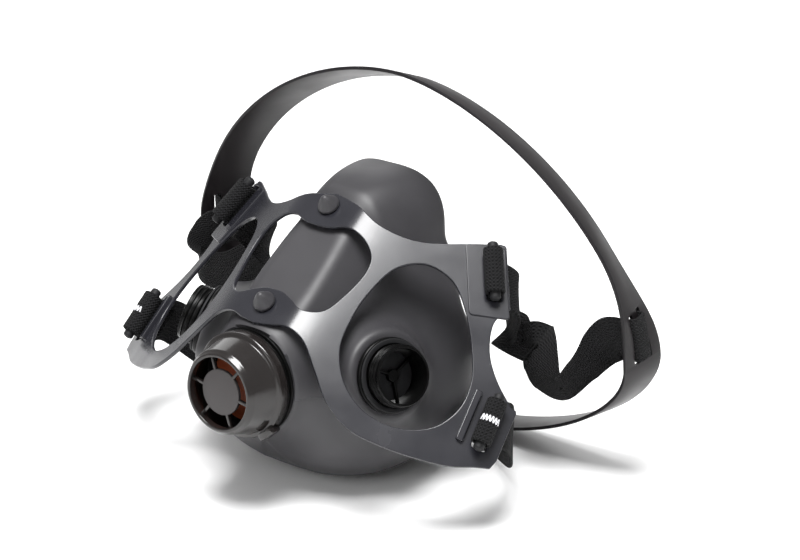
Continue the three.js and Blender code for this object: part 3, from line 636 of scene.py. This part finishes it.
def barrel_profile():
    flange = [[12.2, -6], [12.2, GAP], [15.3, GAP], [15.3, 2], [14.8, 2.5], [BARREL_RADIUS, 2.5]]
    thread = [[BARREL_RADIUS, height] for height in np.linspace(3.8, 10.4, 60)]
    mouth = [[BARREL_RADIUS, 10.6], [11.85, 10.9], [11.6, 11], [11.3, 11], [11.08, 10.9], [11, 10.6]]
    return [*softened(flange, 0.3, closed=False), *thread, *mouth, [11, 4], [11, -6]]


def ring_shape(inner, outer, low, high, axis, corner):
    return turned([[inner, low], [outer, low], [outer, high], [inner, high]], axis, corner)


def build_port(side, name):
    axis = (mirrored(PORT_PLACE, side), mirrored(PORT_OUT, side))
    barrel = turned(barrel_profile(), axis, radius_at=threaded)
    hub = disc(2.6, 1.5, 3.6, axis, 0.4)
    web = spokes(3, reach=11.5, thickness=1.1, low=1.6, high=3.4, axis=axis)
    socket = joined([barrel, hub, *web])
    build_piece(f"port_barrel_{name}", socket, [SHADED_PORT_BLACK], "mask", "gloss", f"port_connector_{name}")
    seal = ring_shape(12.8, 14.8, 2.5 + GAP, 3.8, axis, 0.35)
    build_piece(f"port_seal_{name}", seal, [RUBBER], "mask", "rubber", f"port_gasket_{name}")
    nut = ring_shape(12.5, 15.4, NUT_FOOT, NUT_TOP, axis, 0.4)
    build_piece(f"port_nut_{name}", nut, [SHADED_PORT_BLACK], "mask", "gloss", f"port_retaining_ring_{name}")
    flap = turned([[0, 0.2], [9.8, 0.4], [9.8, 1.1], [2, 1.3], [0, 1.3]], axis, 0.3)
    body = f"inhalation_disc_{name}"
    build_piece(f"{body}_skin", flap, [RUBBER], body, "rubber", f"inhalation_flap_{name}")


def build_valve():
    axis = (VALVE_PLACE, VALVE_OUT)
    seat = [
        [14.2, -5.4], [15.8, -5.4], [15.8, GAP], [21.9, GAP], [21.9, 1.2], [20.6, 1.5],
        [20.6, 2.2], [21.6, 2.5], [21.6, 3.2], [15.2, 3.2], [15.2, 4.4], [14.2, 4.4],
    ]
    hub = disc(3, 1.2, 3, axis)
    web = spokes(4, reach=14.6, thickness=1.4, low=1.2, high=3, axis=axis)
    shape = joined([turned(seat, axis, 0.25), hub, *web])
    build_piece("valve_seat_skin", shape, [SHADED_PORT_BLACK], "mask", "gloss", "exhalation_valve_seat")
    nut = ring_shape(16.1, 19.2, NUT_FOOT, NUT_TOP, axis, 0.4)
    build_piece("valve_nut", nut, [SHADED_PORT_BLACK], "mask", "gloss", "valve_retaining_ring")
    flap = [[0, 4.1], [2.5, 4.1], [3.5, 4.7], [15.4, 4.7], [15.4, 5.3], [3, 5.5], [2.4, 6], [0, 6]]
    shape = turned(flap, axis, 0.25)
    build_piece("exhalation_disc_skin", shape, [FLAP], "exhalation_disc", "flap", "exhalation_flap")


def latch_block(place, out):
    """The guard's latch, on its rim at an angle below level."""
    size, height, distance = (8, 6, 3.2), 6.5, 22.2
    level, up = axes_at(out)
    turn = level * cos(LATCH_TURN) - up * sin(LATCH_TURN)
    side = np.cross(out, turn)
    return block(size, place + out * height - side * distance, (turn, out, side), 0.9)


def build_guard():
    axis = (VALVE_PLACE, VALVE_OUT)
    profile = [
        [20.2, 3.5], [21.75, 3.5], [21.75, 7.6], [21.2, 8.2], [19.9, 8.6], [17.4, 18.6],
        [16.6, 19.6], [15.9, GUARD_DEPTH], [14.6, GUARD_DEPTH], [14.6, 17.4], [15.9, 16.6], [18.6, 7.2],
        [20.2, 6.6],
    ]
    hub = disc(9.4, 17.4, 19, axis, 0.35)
    bars = spokes(6, reach=15.6, thickness=1.3, low=17.4, high=18.9, axis=axis, first=GUARD_TURN)
    parts = [turned(profile, axis, 0.45), latch_block(*axis), *bars, hub]
    shape = joined(parts)
    skin_of = [1 if number == len(parts) - 1 else 0 for number in shape[2]]
    build_piece("valve_guard_skin", shape, [GLOSS, HUB], "guard", "gloss", "exhalation_valve_guard", skin_of)


# ---------------- cradle

def sheet_top(x, s):
    beyond = np.abs(x) - BEND_START
    ramp = (beyond + np.hypot(beyond, BEND_SOFTNESS)) / 2
    start = (hypot(BEND_START, BEND_SOFTNESS) - BEND_START) / 2
    return -BEND_SLOPE * (ramp - start) + BEND_TWIST * np.abs(x) * (s - 20)


def on_sheet(x, s, height):
    """Points at a height above the bent sheet's top face, and its outward normals there."""
    x, s = np.asarray(x, float), np.asarray(s, float)

    def top(dx, ds):
        lift = sheet_top(x + dx, s + ds)[..., None]
        flat = (x + dx)[..., None] * vec(1, 0, 0) + (s + ds)[..., None] * PLATE_UP
        return PLATE_ORIGIN + flat + lift * PLATE_OUT

    step = 0.5
    normal = unit(np.cross(top(step, 0) - top(-step, 0), top(0, step) - top(0, -step)))
    return top(0, 0) + normal * height, normal


def curve_through(points, steps, closed=False):
    """Points along a centripetal Catmull-Rom curve, evenly spaced in its own parameter."""
    points = np.array(points, float)
    if closed:
        padded = points[np.arange(-1, len(points) + 2) % len(points)]
    else:
        padded = np.array([2 * points[0] - points[1], *points, 2 * points[-1] - points[-2]])
    spans = len(padded) - 3
    found = []
    for t in np.linspace(0, 1, steps + 1):
        low = int(min(t * spans, spans - 1))
        part = t * spans - low
        p0, p1, p2, p3 = padded[low:low + 4]
        d0, d1, d2 = (sqrt(norm(b - a)) for a, b in ((p0, p1), (p1, p2), (p2, p3)))
        leave = ((p1 - p0) / d0 - (p2 - p0) / (d0 + d1) + (p2 - p1) / d1) * d1
        arrive = ((p2 - p1) / d1 - (p3 - p1) / (d1 + d2) + (p3 - p2) / d2) * d1
        cubic = 2 * p1 - 2 * p2 + leave + arrive
        square = -3 * p1 + 3 * p2 - 2 * leave - arrive
        found.append(p1 + part * (leave + part * (square + part * cubic)))
    return found[:-1] if closed else found


CRADLE_EDGE = [
    (0, 57), (7, 55.5), (13, 54), (22, 50.6), (30, 50.4), (38, 52.4), (46, 57), (54, 62.8), (63, 69),
]
CRADLE_SIDE = [(76.4, 45.2), (74.6, 40), (75.4, 34), (79, 25.5), (85, 18.2), (93, 11.8)]
CRADLE_FOOT = [
    (92, -16.6), (84, -22), (74, -26), (62, -29.2), (51, -30.2), (40, -25.4), (31, -16.4), (22, -8.2),
    (14, -6.6), (7, -8.4), (0, -9.6),
]
PORT_WINDOW = [
    (33, 8), (33.2, 22), (37, 38), (45, 45.6), (55, 45.2), (64, 37), (73.5, 22), (77.5, 12),
    (78.2, 0), (73.5, -12), (63, -19.8), (52, -20.6), (42, -15), (35, -4),
]
MIDDLE_WINDOW = [
    (0, 40.4), (6, 40.8), (13, 43.2), (21, 42), (27, 37), (28.6, 30), (26.6, 16), (23, 6), (16.4, 2.6),
    (9, 5.4), (4, 7.2), (0, 7.4),
]


def mirrored_loop(half):
    return [*half, *[(-x, s) for x, s in half[-2:0:-1]]]


def beside_slot(corners, slot, side):
    """Points given along and across a slot, as points of the flat sheet."""
    x, s, dx, ds = slot
    return [(side * (x + dx * u - ds * v), s + ds * u + dx * v) for u, v in corners]


def slot_outline(slot, side, length=TAB_SLOT_LENGTH, width=TAB_SLOT_WIDTH, shift=0.0):
    """A rectangle with rounded corners along a slot, moved across it by the shift."""
    u, v = length / 2, width / 2
    corners = [(-u, shift - v), (u, shift - v), (u, shift + v), (-u, shift + v)]
    return beside_slot(softened(corners, 1, 4), slot, side)


def cradle_outline():
    half = [
        *curve_through(CRADLE_EDGE, 90), (64.8, 69.6), (65.6, 69), (77, 47.2), (77, 46.2),
        *curve_through(CRADLE_SIDE, 50), (95, 11.6), (95.6, 10.6), (97.2, -10), (96.4, -14),
        *curve_through(CRADLE_FOOT, 110),
    ]
    return mirrored_loop(half)


def cradle_holes():
    turns = 2 * pi * np.arange(48) / 48
    holes = []
    for s in (0, BUTTON_SPACING):
        holes.append([(BUTTON_HOLE_RADIUS * cos(turn), s + BUTTON_HOLE_RADIUS * sin(turn)) for turn in turns])
    holes.append(mirrored_loop(curve_through(MIDDLE_WINDOW, 90)))
    for side, _ in SIDES:
        holes.append([(x * side, s) for x, s in curve_through(PORT_WINDOW, 170, closed=True)])
        holes += [slot_outline(UPPER_SLOT, side), slot_outline(LOWER_SLOT, side)]
    return holes


def evened(loop, spacing):
    """A closed outline with points no further apart than the spacing and none on top of each other."""
    even = []
    for a, b in zip(loop, [*loop[1:], loop[0]]):
        gap = np.subtract(b, a)
        pieces = max(1, int(np.ceil(norm(gap) / spacing)))
        if norm(gap) > 0.15:
            even += [np.add(a, gap * i / pieces) for i in range(pieces)]
    return np.array(even)


def signed_area(loop):
    x, s = loop.T
    return (x * np.roll(s, -1) - np.roll(x, -1) * s).sum() / 2


def set_in(loop, distance):
    """The outline moved to its left: inward for a loop that goes anticlockwise."""
    along = unit(np.roll(loop, -1, 0) - loop)
    left = np.stack([-along[:, 1], along[:, 0]], -1)
    middle = unit(left + np.roll(left, 1, 0))
    stretch = np.clip((middle * left).sum(-1, keepdims=True), 0.5, 1)
    return loop + middle / stretch * distance


def within(points, loops):
    """Whether points lie inside an odd number of the loops."""
    inside = np.zeros(len(points), bool)
    for loop in loops:
        for (x0, s0), (x1, s1) in zip(loop, np.roll(loop, -1, 0)):
            if s0 == s1:
                continue
            crosses = (points[:, 1] > min(s0, s1)) & (points[:, 1] <= max(s0, s1))
            inside ^= crosses & (points[:, 0] < x0 + (points[:, 1] - s0) / (s1 - s0) * (x1 - x0))
    return inside


def wound_loops(outline, holes, spacing):
    """The outline anticlockwise and its holes clockwise, each with evenly spaced points."""
    loops = []
    for number, loop in enumerate([outline, *holes]):
        even = evened(loop, spacing)
        if (signed_area(even) > 0) != (number == 0):
            even = even[::-1]
        loops.append(even)
    return loops


def inner_grid(loops, mesh_step, clearance):
    """A square grid of points between the loops, none nearer to a loop's points than the clearance."""
    spans = zip(loops[0].min(0), loops[0].max(0))
    grid = np.meshgrid(*[np.arange(low + mesh_step / 2, high, mesh_step) for low, high in spans])
    grid = np.stack([part.ravel() for part in grid], -1)
    grid = grid[within(grid, loops)]
    if len(grid):
        nearest = np.min([norm(grid - point, axis=1) for point in np.concatenate(loops)], axis=0)
        grid = grid[nearest > clearance]
    return grid


def filled(loops, grid):
    """Flat points and triangles that fill the space between the loops."""
    edges, start = [], 0
    for loop in loops:
        edges += [(start + i, start + (i + 1) % len(loop)) for i in range(len(loop))]
        start += len(loop)
    flat = [Vector(point) for point in np.concatenate([*loops, grid]).tolist()]
    flat, _, triangles, *_ = delaunay_2d_cdt(flat, edges, [], 0, 1e-5)
    flat = np.array([tuple(point) for point in flat])
    triangles = np.array(triangles)
    return flat, triangles[within(flat[triangles].mean(1), loops)]


def sheet_solid(outline, holes, low, high, corner=0.4, spacing=1.2, mesh_step=3.0):
    """A flat shape in (x, s) as a solid bent onto the sheet between two heights, with rounded edges."""
    loops = wound_loops(outline, holes, spacing)
    inset = [set_in(loop, corner) for loop in loops]
    flat, triangles = filled(inset, inner_grid(inset, mesh_step, spacing))
    points = [on_sheet(*flat.T, height)[0] for height in (high, low)]
    faces = triangles.tolist() + (triangles[:, ::-1] + len(flat)).tolist()
    arc = [(corner * (1 - sin(turn)), corner * (1 - cos(turn))) for turn in (0, pi / 6, pi / 3, pi / 2)]
    walls = [(inward, high - drop) for inward, drop in arc]
    walls += [(inward, low + drop) for inward, drop in arc[::-1]]
    start = 2 * len(flat)
    for loop in loops:
        size = len(loop)
        for inward, height in walls:
            points.append(on_sheet(*set_in(loop, inward).T, height)[0])
        faces += [[start + i for i in (a, d, c, b)] for a, b, c, d in grid_faces(len(walls), size)]
        start += size * len(walls)
    return np.concatenate(points), faces


def follow_sheet(made):
    """Gives every corner on the sheet's two faces the bent sheet's own normal, for clean reflections."""
    mesh = made.data
    points = np.array([vertex.co for vertex in mesh.vertices]) / MM - SHIFT
    foot = points
    for _ in range(3):
        top, normal = on_sheet(foot[:, 0], (foot - PLATE_ORIGIN) @ PLATE_UP, 0)
        foot = points - normal * ((points - top) * normal).sum(-1, keepdims=True)
    corner_normals = np.array([vertex.normal for vertex in mesh.vertices])
    for face in mesh.polygons:
        corners = list(face.vertices)
        facing = normal[corners].mean(0) @ np.array(face.normal)
        if len(corners) == 3 and abs(facing) > 0.95:
            corner_normals[corners] = normal[corners] * np.sign(facing)
    mesh.set_sharp_from_angle(angle=pi)
    mesh.normals_split_custom_set_from_vertices(corner_normals.tolist())


def upper_pad(side):
    """The thicker rectangle of the sheet round an upper slot."""
    corners = softened([(-11.4, -9.3), (17.4, -9.3), (17.4, 5.2), (-11.4, 5.2)], 1.5, 4)
    return beside_slot(corners, UPPER_SLOT, side)


def build_cradle():
    parts = [sheet_solid(cradle_outline(), cradle_holes(), -SHEET, 0)]
    for side, _ in SIDES:
        ridge = slot_outline(LOWER_SLOT, side, 22, 2.6, -6.8)
        parts.append(sheet_solid(ridge, [], -0.8, 1.8, 0.5, 0.8, 1.5))
        hole = slot_outline(UPPER_SLOT, side, TAB_SLOT_LENGTH + 0.4, TAB_SLOT_WIDTH + 0.4)
        parts.append(sheet_solid(upper_pad(side), [hole], -0.8, 0.6, 0.35, 0.9, 2.0))
    made = welded(make_object("cradle_skin", *joined(parts)[:2], [CRADLE]))
    follow_sheet(made)
    stand_for(made, "mask", "cradle", "cradle")


# ---------------- rods and webbing

def slot_frame(slot, side):
    """The middle of a tab's slot, and the directions along it, across it and out of the sheet."""
    x, s, dx, ds = slot
    point, normal = on_sheet(x * side, s, 0)
    far, _ = on_sheet((x + dx) * side, s + ds, 0)
    along = -unit(far - point)
    across = unit(np.cross(along, normal) * side)
    return point, along, across, normal


def build_rod(slot, side, name):
    point, along, _, out = slot_frame(slot, side)
    half = ROD_LENGTH / 2
    bend = [radians(angle) for angle in range(0, 91, 15)]
    end = [(ROD_RADIUS * sin(angle), half - 1.2 * (1 - cos(angle))) for angle in bend]
    profile = [(radius, -height) for radius, height in end] + end[::-1]
    shape = turned(profile, (point + out * ROD_HEIGHT, along), steps=32)
    build_piece(f"{name}_skin", shape, [RUBBER], "mask", "gloss", name)


def band_section(width, thickness, steps=5):
    """A flat band's section: (across, up) pairs round a rectangle with round edges."""
    radius = thickness / 2
    turns = [-pi / 2 + pi * i / steps for i in range(steps + 1)]
    right = [(width / 2 - radius + radius * cos(turn), radius * sin(turn)) for turn in turns]
    return [*right, (0, radius), *[(-a, -b) for a, b in right], (0, -radius)]


def band_shape(stations, width, thickness):
    """A closed band along stations (point, wide), and each point's place on the cloth."""
    centres = np.array([point for point, _ in stations])
    wide = np.array([direction for _, direction in stations])
    ahead = unit(np.gradient(centres, axis=0))
    side = unit(wide - (wide * ahead).sum(-1, keepdims=True) * ahead)
    up = np.cross(side, ahead)
    section = np.array(band_section(width, thickness))
    across, high = section.T[:, None, :, None]
    points = centres[:, None] + side[:, None] * across + up[:, None] * high
    travelled = np.concatenate([[0], np.cumsum(norm(np.diff(centres, axis=0), axis=1))])
    cloth = np.stack(np.broadcast_arrays(travelled[:, None], section[:, 0][None, :]), -1)
    return points.reshape(-1, 3), tube_faces(*points.shape[:2]), cloth.reshape(-1, 2)


def loop_stations(slot, side):
    """The loop round a rod and the two layers that go back through the tab's slot."""
    point, along, across, out = slot_frame(slot, side)

    def at(a, b):
        return point + across * a + out * b, along

    stations = [at(LAYER_OFFSET, height) for height in np.linspace(-7, -1, 8)]
    neck = 0.42
    for angle in np.linspace(-pi / 2 + neck, 3 * pi / 2 - neck, 48):
        stations.append(at(LOOP_RADIUS * cos(angle), ROD_HEIGHT + LOOP_RADIUS * sin(angle)))
    return stations + [at(-LAYER_OFFSET, height) for height in np.linspace(-1, -4, 5)]


def run_stations(start, route, side, steps):
    """Stations along a route given for the right-hand side, from a start already in place."""
    places = [start[0]] + [mirrored(point, side) for point, _ in route]
    widths = [start[1]] + [unit(mirrored(wide, side)) for _, wide in route]
    centres = curve_through(places, steps)[1:]
    stations = []
    for step, centre in enumerate(centres, 1):
        along = step / steps * (len(places) - 1)
        low = min(int(along), len(places) - 2)
        part = along - low
        stations.append((centre, widths[low] * (1 - part) + widths[low + 1] * part))
    return stations


# Routes are given for the right-hand side, as a point and the direction up the webbing's width. The
# left upper strap hangs in a loop of its own.
UPPER_ROUTE = {
    RIGHT: [
        ((71, 30, 80), (-0.45, 0.5, 0.74)),
        ((66, 36, 68), (-0.2, 0.3, 0.93)),
        ((60, 41, 59), (0, 0, 1)),
        ((65, 44, 53.5), (0.1, -0.1, 1)),
        ((71, 43, 54), (0.5, -0.2, 0.85)),
        ((76.5, 39.5, 56), (0.9, -0.15, 0.4)),
        ((80, 36, 49.5), (0.98, -0.1, 0.15)),
        ((83, 36, 43), (0.9, -0.2, 0.4)),
        ((88, 39, 40), (0.3, -0.5, 0.8)),
        ((95, 43, 48), (0.05, -0.6, 0.8)),
        ((102, 46, 58), (-0.05, -0.4, 0.9)),
    ],
    LEFT: [
        ((71, 30, 80), (-0.3, 0.5, 0.8)),
        ((68, 37, 71), (-0.1, 0.3, 0.95)),
        ((71, 43, 62), (0, 0.1, 1)),
        ((81, 44, 54), (0, 0, 1)),
        ((92.5, 40, 48), (0, -0.1, 1)),
        ((103, 37, 49), (0, -0.2, 1)),
        ((107.3, 38.5, 55), (0, -0.3, 1)),
        ((105.5, 43, 62), (0, -0.4, 0.95)),
    ],
}
NECK_ROUTE = [
    ((89.5, -2.5, 39), (-0.2, 0.4, 0.9)),
    ((87, 5, 33), (-0.1, 0.2, 0.97)),
    ((77, 18, 19.5), (0, 0, 1)),
    ((58, 33, 13.8), (0, 0, 1)),
    ((33, 42, 13.2), (0, 0, 1)),
    ((14.3, 43, 13.2), (0, 0, 1)),
]


def upper_stations(side):
    """An upper strap from its rod to its cut end, laced out and back in through the headpiece's two slots."""
    first, second = ring_slot(side, RING_SLOT_OFFSET), ring_slot(side, -RING_SLOT_OFFSET)
    outward = BAND / 2 + GAP + 0.8

    def at(slot, height, shift=0.0):
        point, width, out, along = slot
        point = point + out * height + width * shift
        return mirrored(point, side), mirrored(along, side)

    laced = [
        at(first, -BAND / 2 - 9), at(first, -BAND / 2 - 3.6), at(first, 0), at(first, outward - 0.4, -0.25),
        at(first, outward + 0.1, -1.2), at(first, outward + 0.3, -3.8), at(second, outward + 0.1, 1.2),
        at(second, outward - 0.4, 0.25), at(second, 0), at(second, -1.6), at(second, -3.2, -1),
        at(second, -4.6, -4.5), at(second, -6, -10.5),
    ]
    loop = loop_stations(UPPER_SLOT, side)
    return loop + run_stations(loop[-1], UPPER_ROUTE[side] + laced, side, 420)


def build_upper_strap(side, name):
    """The webbing from its rod to its cut end as one mesh, laced through the headpiece's slots and attached
    to no body.
    """
    points, faces, cloth = band_shape(upper_stations(side), WEB_WIDTH, WEB - 0.2)
    made = face_outward(make_object(f"upper_webbing_{name}", points, faces, [WEBBING], cloth=cloth))
    slot, _, out, _ = ring_slot(side, RING_SLOT_OFFSET)
    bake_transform(made)
    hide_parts(f"upper_strap_{name}", f"strap_end_{name}")


def build_neck_strap(side, name):
    loop = loop_stations(LOWER_SLOT, side)
    stations = loop + run_stations(loop[-1], NECK_ROUTE, side, 200)
    points, faces, cloth = band_shape(stations, WEB_WIDTH, WEB - 0.1)
    made = face_outward(make_object(f"neck_webbing_{name}", points, faces, [WEBBING], cloth=cloth))
    stand_for(made, "mask", "webbing", f"neck_strap_{name}")


def build_bar_tack(side, name):
    """A zigzag of pale thread sewn round the front of a lower loop."""
    zigzags, reach, offset, spread = 6, 1.15, 0.3, 2.0
    thread, flatness = 0.3, 0.7
    point, along, across, out = slot_frame(LOWER_SLOT, side)
    middle = point + out * ROD_HEIGHT
    radius = LOOP_RADIUS + WEB / 2 + 0.1
    turns = zigzags * 2
    path = []
    for step in range(turns + 1):
        angle = pi / 2 + (step / turns - 0.5) * spread
        shift = offset + reach * (1 if step % 2 else -1)
        path.append(middle + (across * cos(angle) + out * sin(angle)) * radius + along * shift)
    centres = np.array(curve_through(path, turns * 6))
    section = [(thread * cos(turn), thread * flatness * sin(turn)) for turn in 2 * pi * np.arange(8) / 8]
    ahead = unit(np.gradient(centres, axis=0))
    lift = unit(centres - middle - ((centres - middle) @ along)[:, None] * along)
    sideways = unit(np.cross(ahead, lift))
    points = np.stack([centres + sideways * a + lift * b for a, b in section], 1)
    faces = tube_faces(*points.shape[:2])
    made = face_outward(make_object(f"bar_tack_{name}", points.reshape(-1, 3), faces, [STITCH]))
    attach(made, "mask")


# ---------------- headpiece

RING_TILT = Matrix.Rotation(RING_LEAN, 3, "X") @ Matrix.Rotation(RING_ROLL, 3, "Y")
RING_TURN = np.array(Matrix.Rotation(RING_YAW, 3, "Z") @ RING_TILT)


def flare_at(angle):
    """The band flares out to the front over the crown and down the left side, and in at its foot."""
    from_middle = abs((angle - FLARE_MIDDLE + pi) % (2 * pi) - pi)
    share = min(max((FLARE_REACH - from_middle) / FLARE_FADE, 0), 1)
    return FOOT_FLARE + (RING_FLARE - FOOT_FLARE) * share * share * (3 - 2 * share)


def ring_frame(angle):
    """A place on the ring's middle line, and the directions across its width and out of it."""
    flare = flare_at(angle)
    across, up = cos(angle), sin(angle)
    tall = RING_TOP if up > 0 else RING_BOTTOM
    bend = 2 / RING_POWER
    x, z = (np.sign(share) * abs(share) ** bend for share in (across, up))
    place = vec(RING_HALF_WIDTH * x, 0, tall * z)
    radial = unit(vec(across / RING_HALF_WIDTH, 0, up / tall))
    width = radial * sin(flare) + vec(0, -cos(flare), 0)
    out = radial * cos(flare) + vec(0, sin(flare), 0)
    return RING_TURN @ place + RING_CENTRE, RING_TURN @ width, RING_TURN @ out


def ring_slot(side, shift):
    """A headpiece slot's middle, and the directions across the band, out of it and along the slot."""
    point, width, out = ring_frame(RING_SLOT_ANGLE[side])
    along = unit(np.cross(out, width))
    if along[2] < 0:
        along = -along
    return point + width * shift, width, out, along


def band_width_at(angle):
    """The band is widest where its slots are."""
    turns = (RING_SLOT_ANGLE[RIGHT], RING_SLOT_ANGLE[RIGHT] + 2 * pi, RING_SLOT_ANGLE[LEFT])
    from_slot = min(abs(angle - turn) for turn in turns)
    return BAND_WIDTH * (1 + SLOT_SWELL * np.exp(-((from_slot / SLOT_SWELL_REACH) ** 2)))


def cut(made, cutter):
    """Takes the cutter's shape out of a mesh."""
    face_outward(cutter)
    modifier = made.modifiers.new("cut", "BOOLEAN")
    modifier.operation = "DIFFERENCE"
    modifier.solver = "EXACT"
    modifier.object = cutter
    evaluated = made.evaluated_get(bpy.context.evaluated_depsgraph_get())
    cleaned = bpy.data.meshes.new_from_object(evaluated)
    made.modifiers.clear()
    made.data = cleaned
    bpy.data.objects.remove(cutter)


def cut_ring_slots(made):
    cut_depth = 12
    for side, _ in SIDES:
        for shift in (RING_SLOT_OFFSET, -RING_SLOT_OFFSET):
            point, width, _, along = ring_slot(side, shift)
            axes = (width, along, np.cross(width, along))
            shape = block((RING_SLOT_WIDTH, RING_SLOT_LENGTH, cut_depth), point, axes, 0.6)
            cut(made, make_object("slot_cutter", *shape, [BAND_EDGE]))


def build_headpiece():
    corner, corner_steps = 0.35, 2
    inner_face = corner_steps
    outer_face = inner_face + 2 * (corner_steps + 1)
    rings = []
    for step in range(RING_STEPS):
        angle = 2 * pi * (step + 0.5) / RING_STEPS
        point, width, out = ring_frame(angle)
        u, v = band_width_at(angle) / 2, BAND / 2
        section = softened([(-u, -v), (u, -v), (u, v), (-u, v)], corner, corner_steps)
        rings.append([point + width * a + out * b for a, b in section])
    rings = np.array(rings)
    rows, columns = rings.shape[:2]
    skins = [0 if column in (inner_face, outer_face) else 1 for column in range(columns)] * rows
    faces = grid_faces(rows, columns, wraps=True)
    made = make_object("headpiece_band", rings.reshape(-1, 3), faces, [BAND_FACE, BAND_EDGE], skins)
    face_outward(made)
    cut_ring_slots(made)
    made.data.set_sharp_from_angle(angle=SMOOTH_ANGLE)
    stand_for(made, "head_ring", "band", "headpiece")


def build_clasp():
    """The two clasp halves keep their CAD shape, with softened edges."""
    for node in ("neck_clasp_loop", "neck_clasp_hook"):
        made = add_object(f"{node}_skin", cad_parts[node].data.copy())
        shape = bmesh.new()
        shape.from_mesh(made.data)
        bmesh.ops.remove_doubles(shape, verts=shape.verts, dist=0.00001)
        bmesh.ops.dissolve_limit(shape, angle_limit=radians(3), verts=shape.verts, edges=shape.edges)
        sharp = [edge for edge in shape.edges if edge.is_manifold and edge.calc_face_angle(0) > 0.5]
        bmesh.ops.bevel(shape, geom=sharp, offset=0.0003, segments=2, profile=0.5, affect="EDGES")
        shape.to_mesh(made.data)
        shape.free()
        made.data.materials.clear()
        made.data.materials.append(GLOSS)
        made.data.shade_smooth()
        made.data.set_sharp_from_angle(angle=radians(40))
        stand_for(made, "mask", "gloss", node)


# ---------------- stage

def look_along(made, place, target):
    made.location = place
    made.rotation_euler = (Vector(target) - Vector(place)).to_track_quat("-Z", "Y").to_euler()


def add_camera():
    azimuth, elevation, distance = radians(37.4), radians(21.6), 0.944
    focal_length, sensor_width = 112.5, 36
    target = (vec(67.4, -42, 108) + SHIFT) * MM
    back = vec(sin(azimuth) * cos(elevation), -cos(azimuth) * cos(elevation), sin(elevation))
    camera = add_object("camera", bpy.data.cameras.new("camera"))
    camera.data.lens = focal_length
    camera.data.sensor_width = sensor_width
    look_along(camera, target + back * distance, target)
    bpy.context.scene.camera = camera


def add_light(name, place, size, power):
    light = bpy.data.lights.new(name, "AREA")
    light.shape = "RECTANGLE"
    light.size, light.size_y = size
    light.energy = power
    look_along(add_object(name, light), place, (0, 0, 0.06))


def add_floor():
    half = 4
    mesh = bpy.data.meshes.new("floor")
    corners = [(-half, -half, 0), (half, -half, 0), (half, half, 0), (-half, half, 0)]
    mesh.from_pydata(corners, [], [(0, 1, 2, 3)])
    mesh.materials.append(material("floor", (0.93, 0.93, 0.93), 0.7, 0.01, 0.02, grain=200, bump=0.02))
    add_object("floor", mesh)


def add_lights():
    world = bpy.data.worlds.new("studio")
    world.use_nodes = True
    background = world.node_tree.nodes["Background"]
    background.inputs["Color"].default_value = (1, 1, 1, 1)
    background.inputs["Strength"].default_value = 0.45
    scene = bpy.context.scene
    scene.world = world
    scene.view_settings.view_transform = "Standard"
    scene.view_settings.look = "None"
    add_light("overhead", (0.13, -0.26, 1.16), (0.55, 0.55), 25)
    add_light("front", (0.2, -1.3, 0.8), (0.8, 0.5), 4)
    add_light("rim", (-0.9, 0.7, 0.7), (0.8, 0.8), 4)


def build():
    add_camera()
    add_floor()
    add_lights()
    build_facepiece()
    for side, name in SIDES:
        build_port(side, name)
    build_valve()
    build_guard()
    build_cradle()
    for side, name in SIDES:
        build_rod(UPPER_SLOT, side, f"upper_rod_{name}")
        build_rod(LOWER_SLOT, side, f"lower_rod_{name}")
        build_upper_strap(side, name)
        build_neck_strap(side, name)
        build_bar_tack(side, name)
    build_headpiece()
    build_clasp()


build()
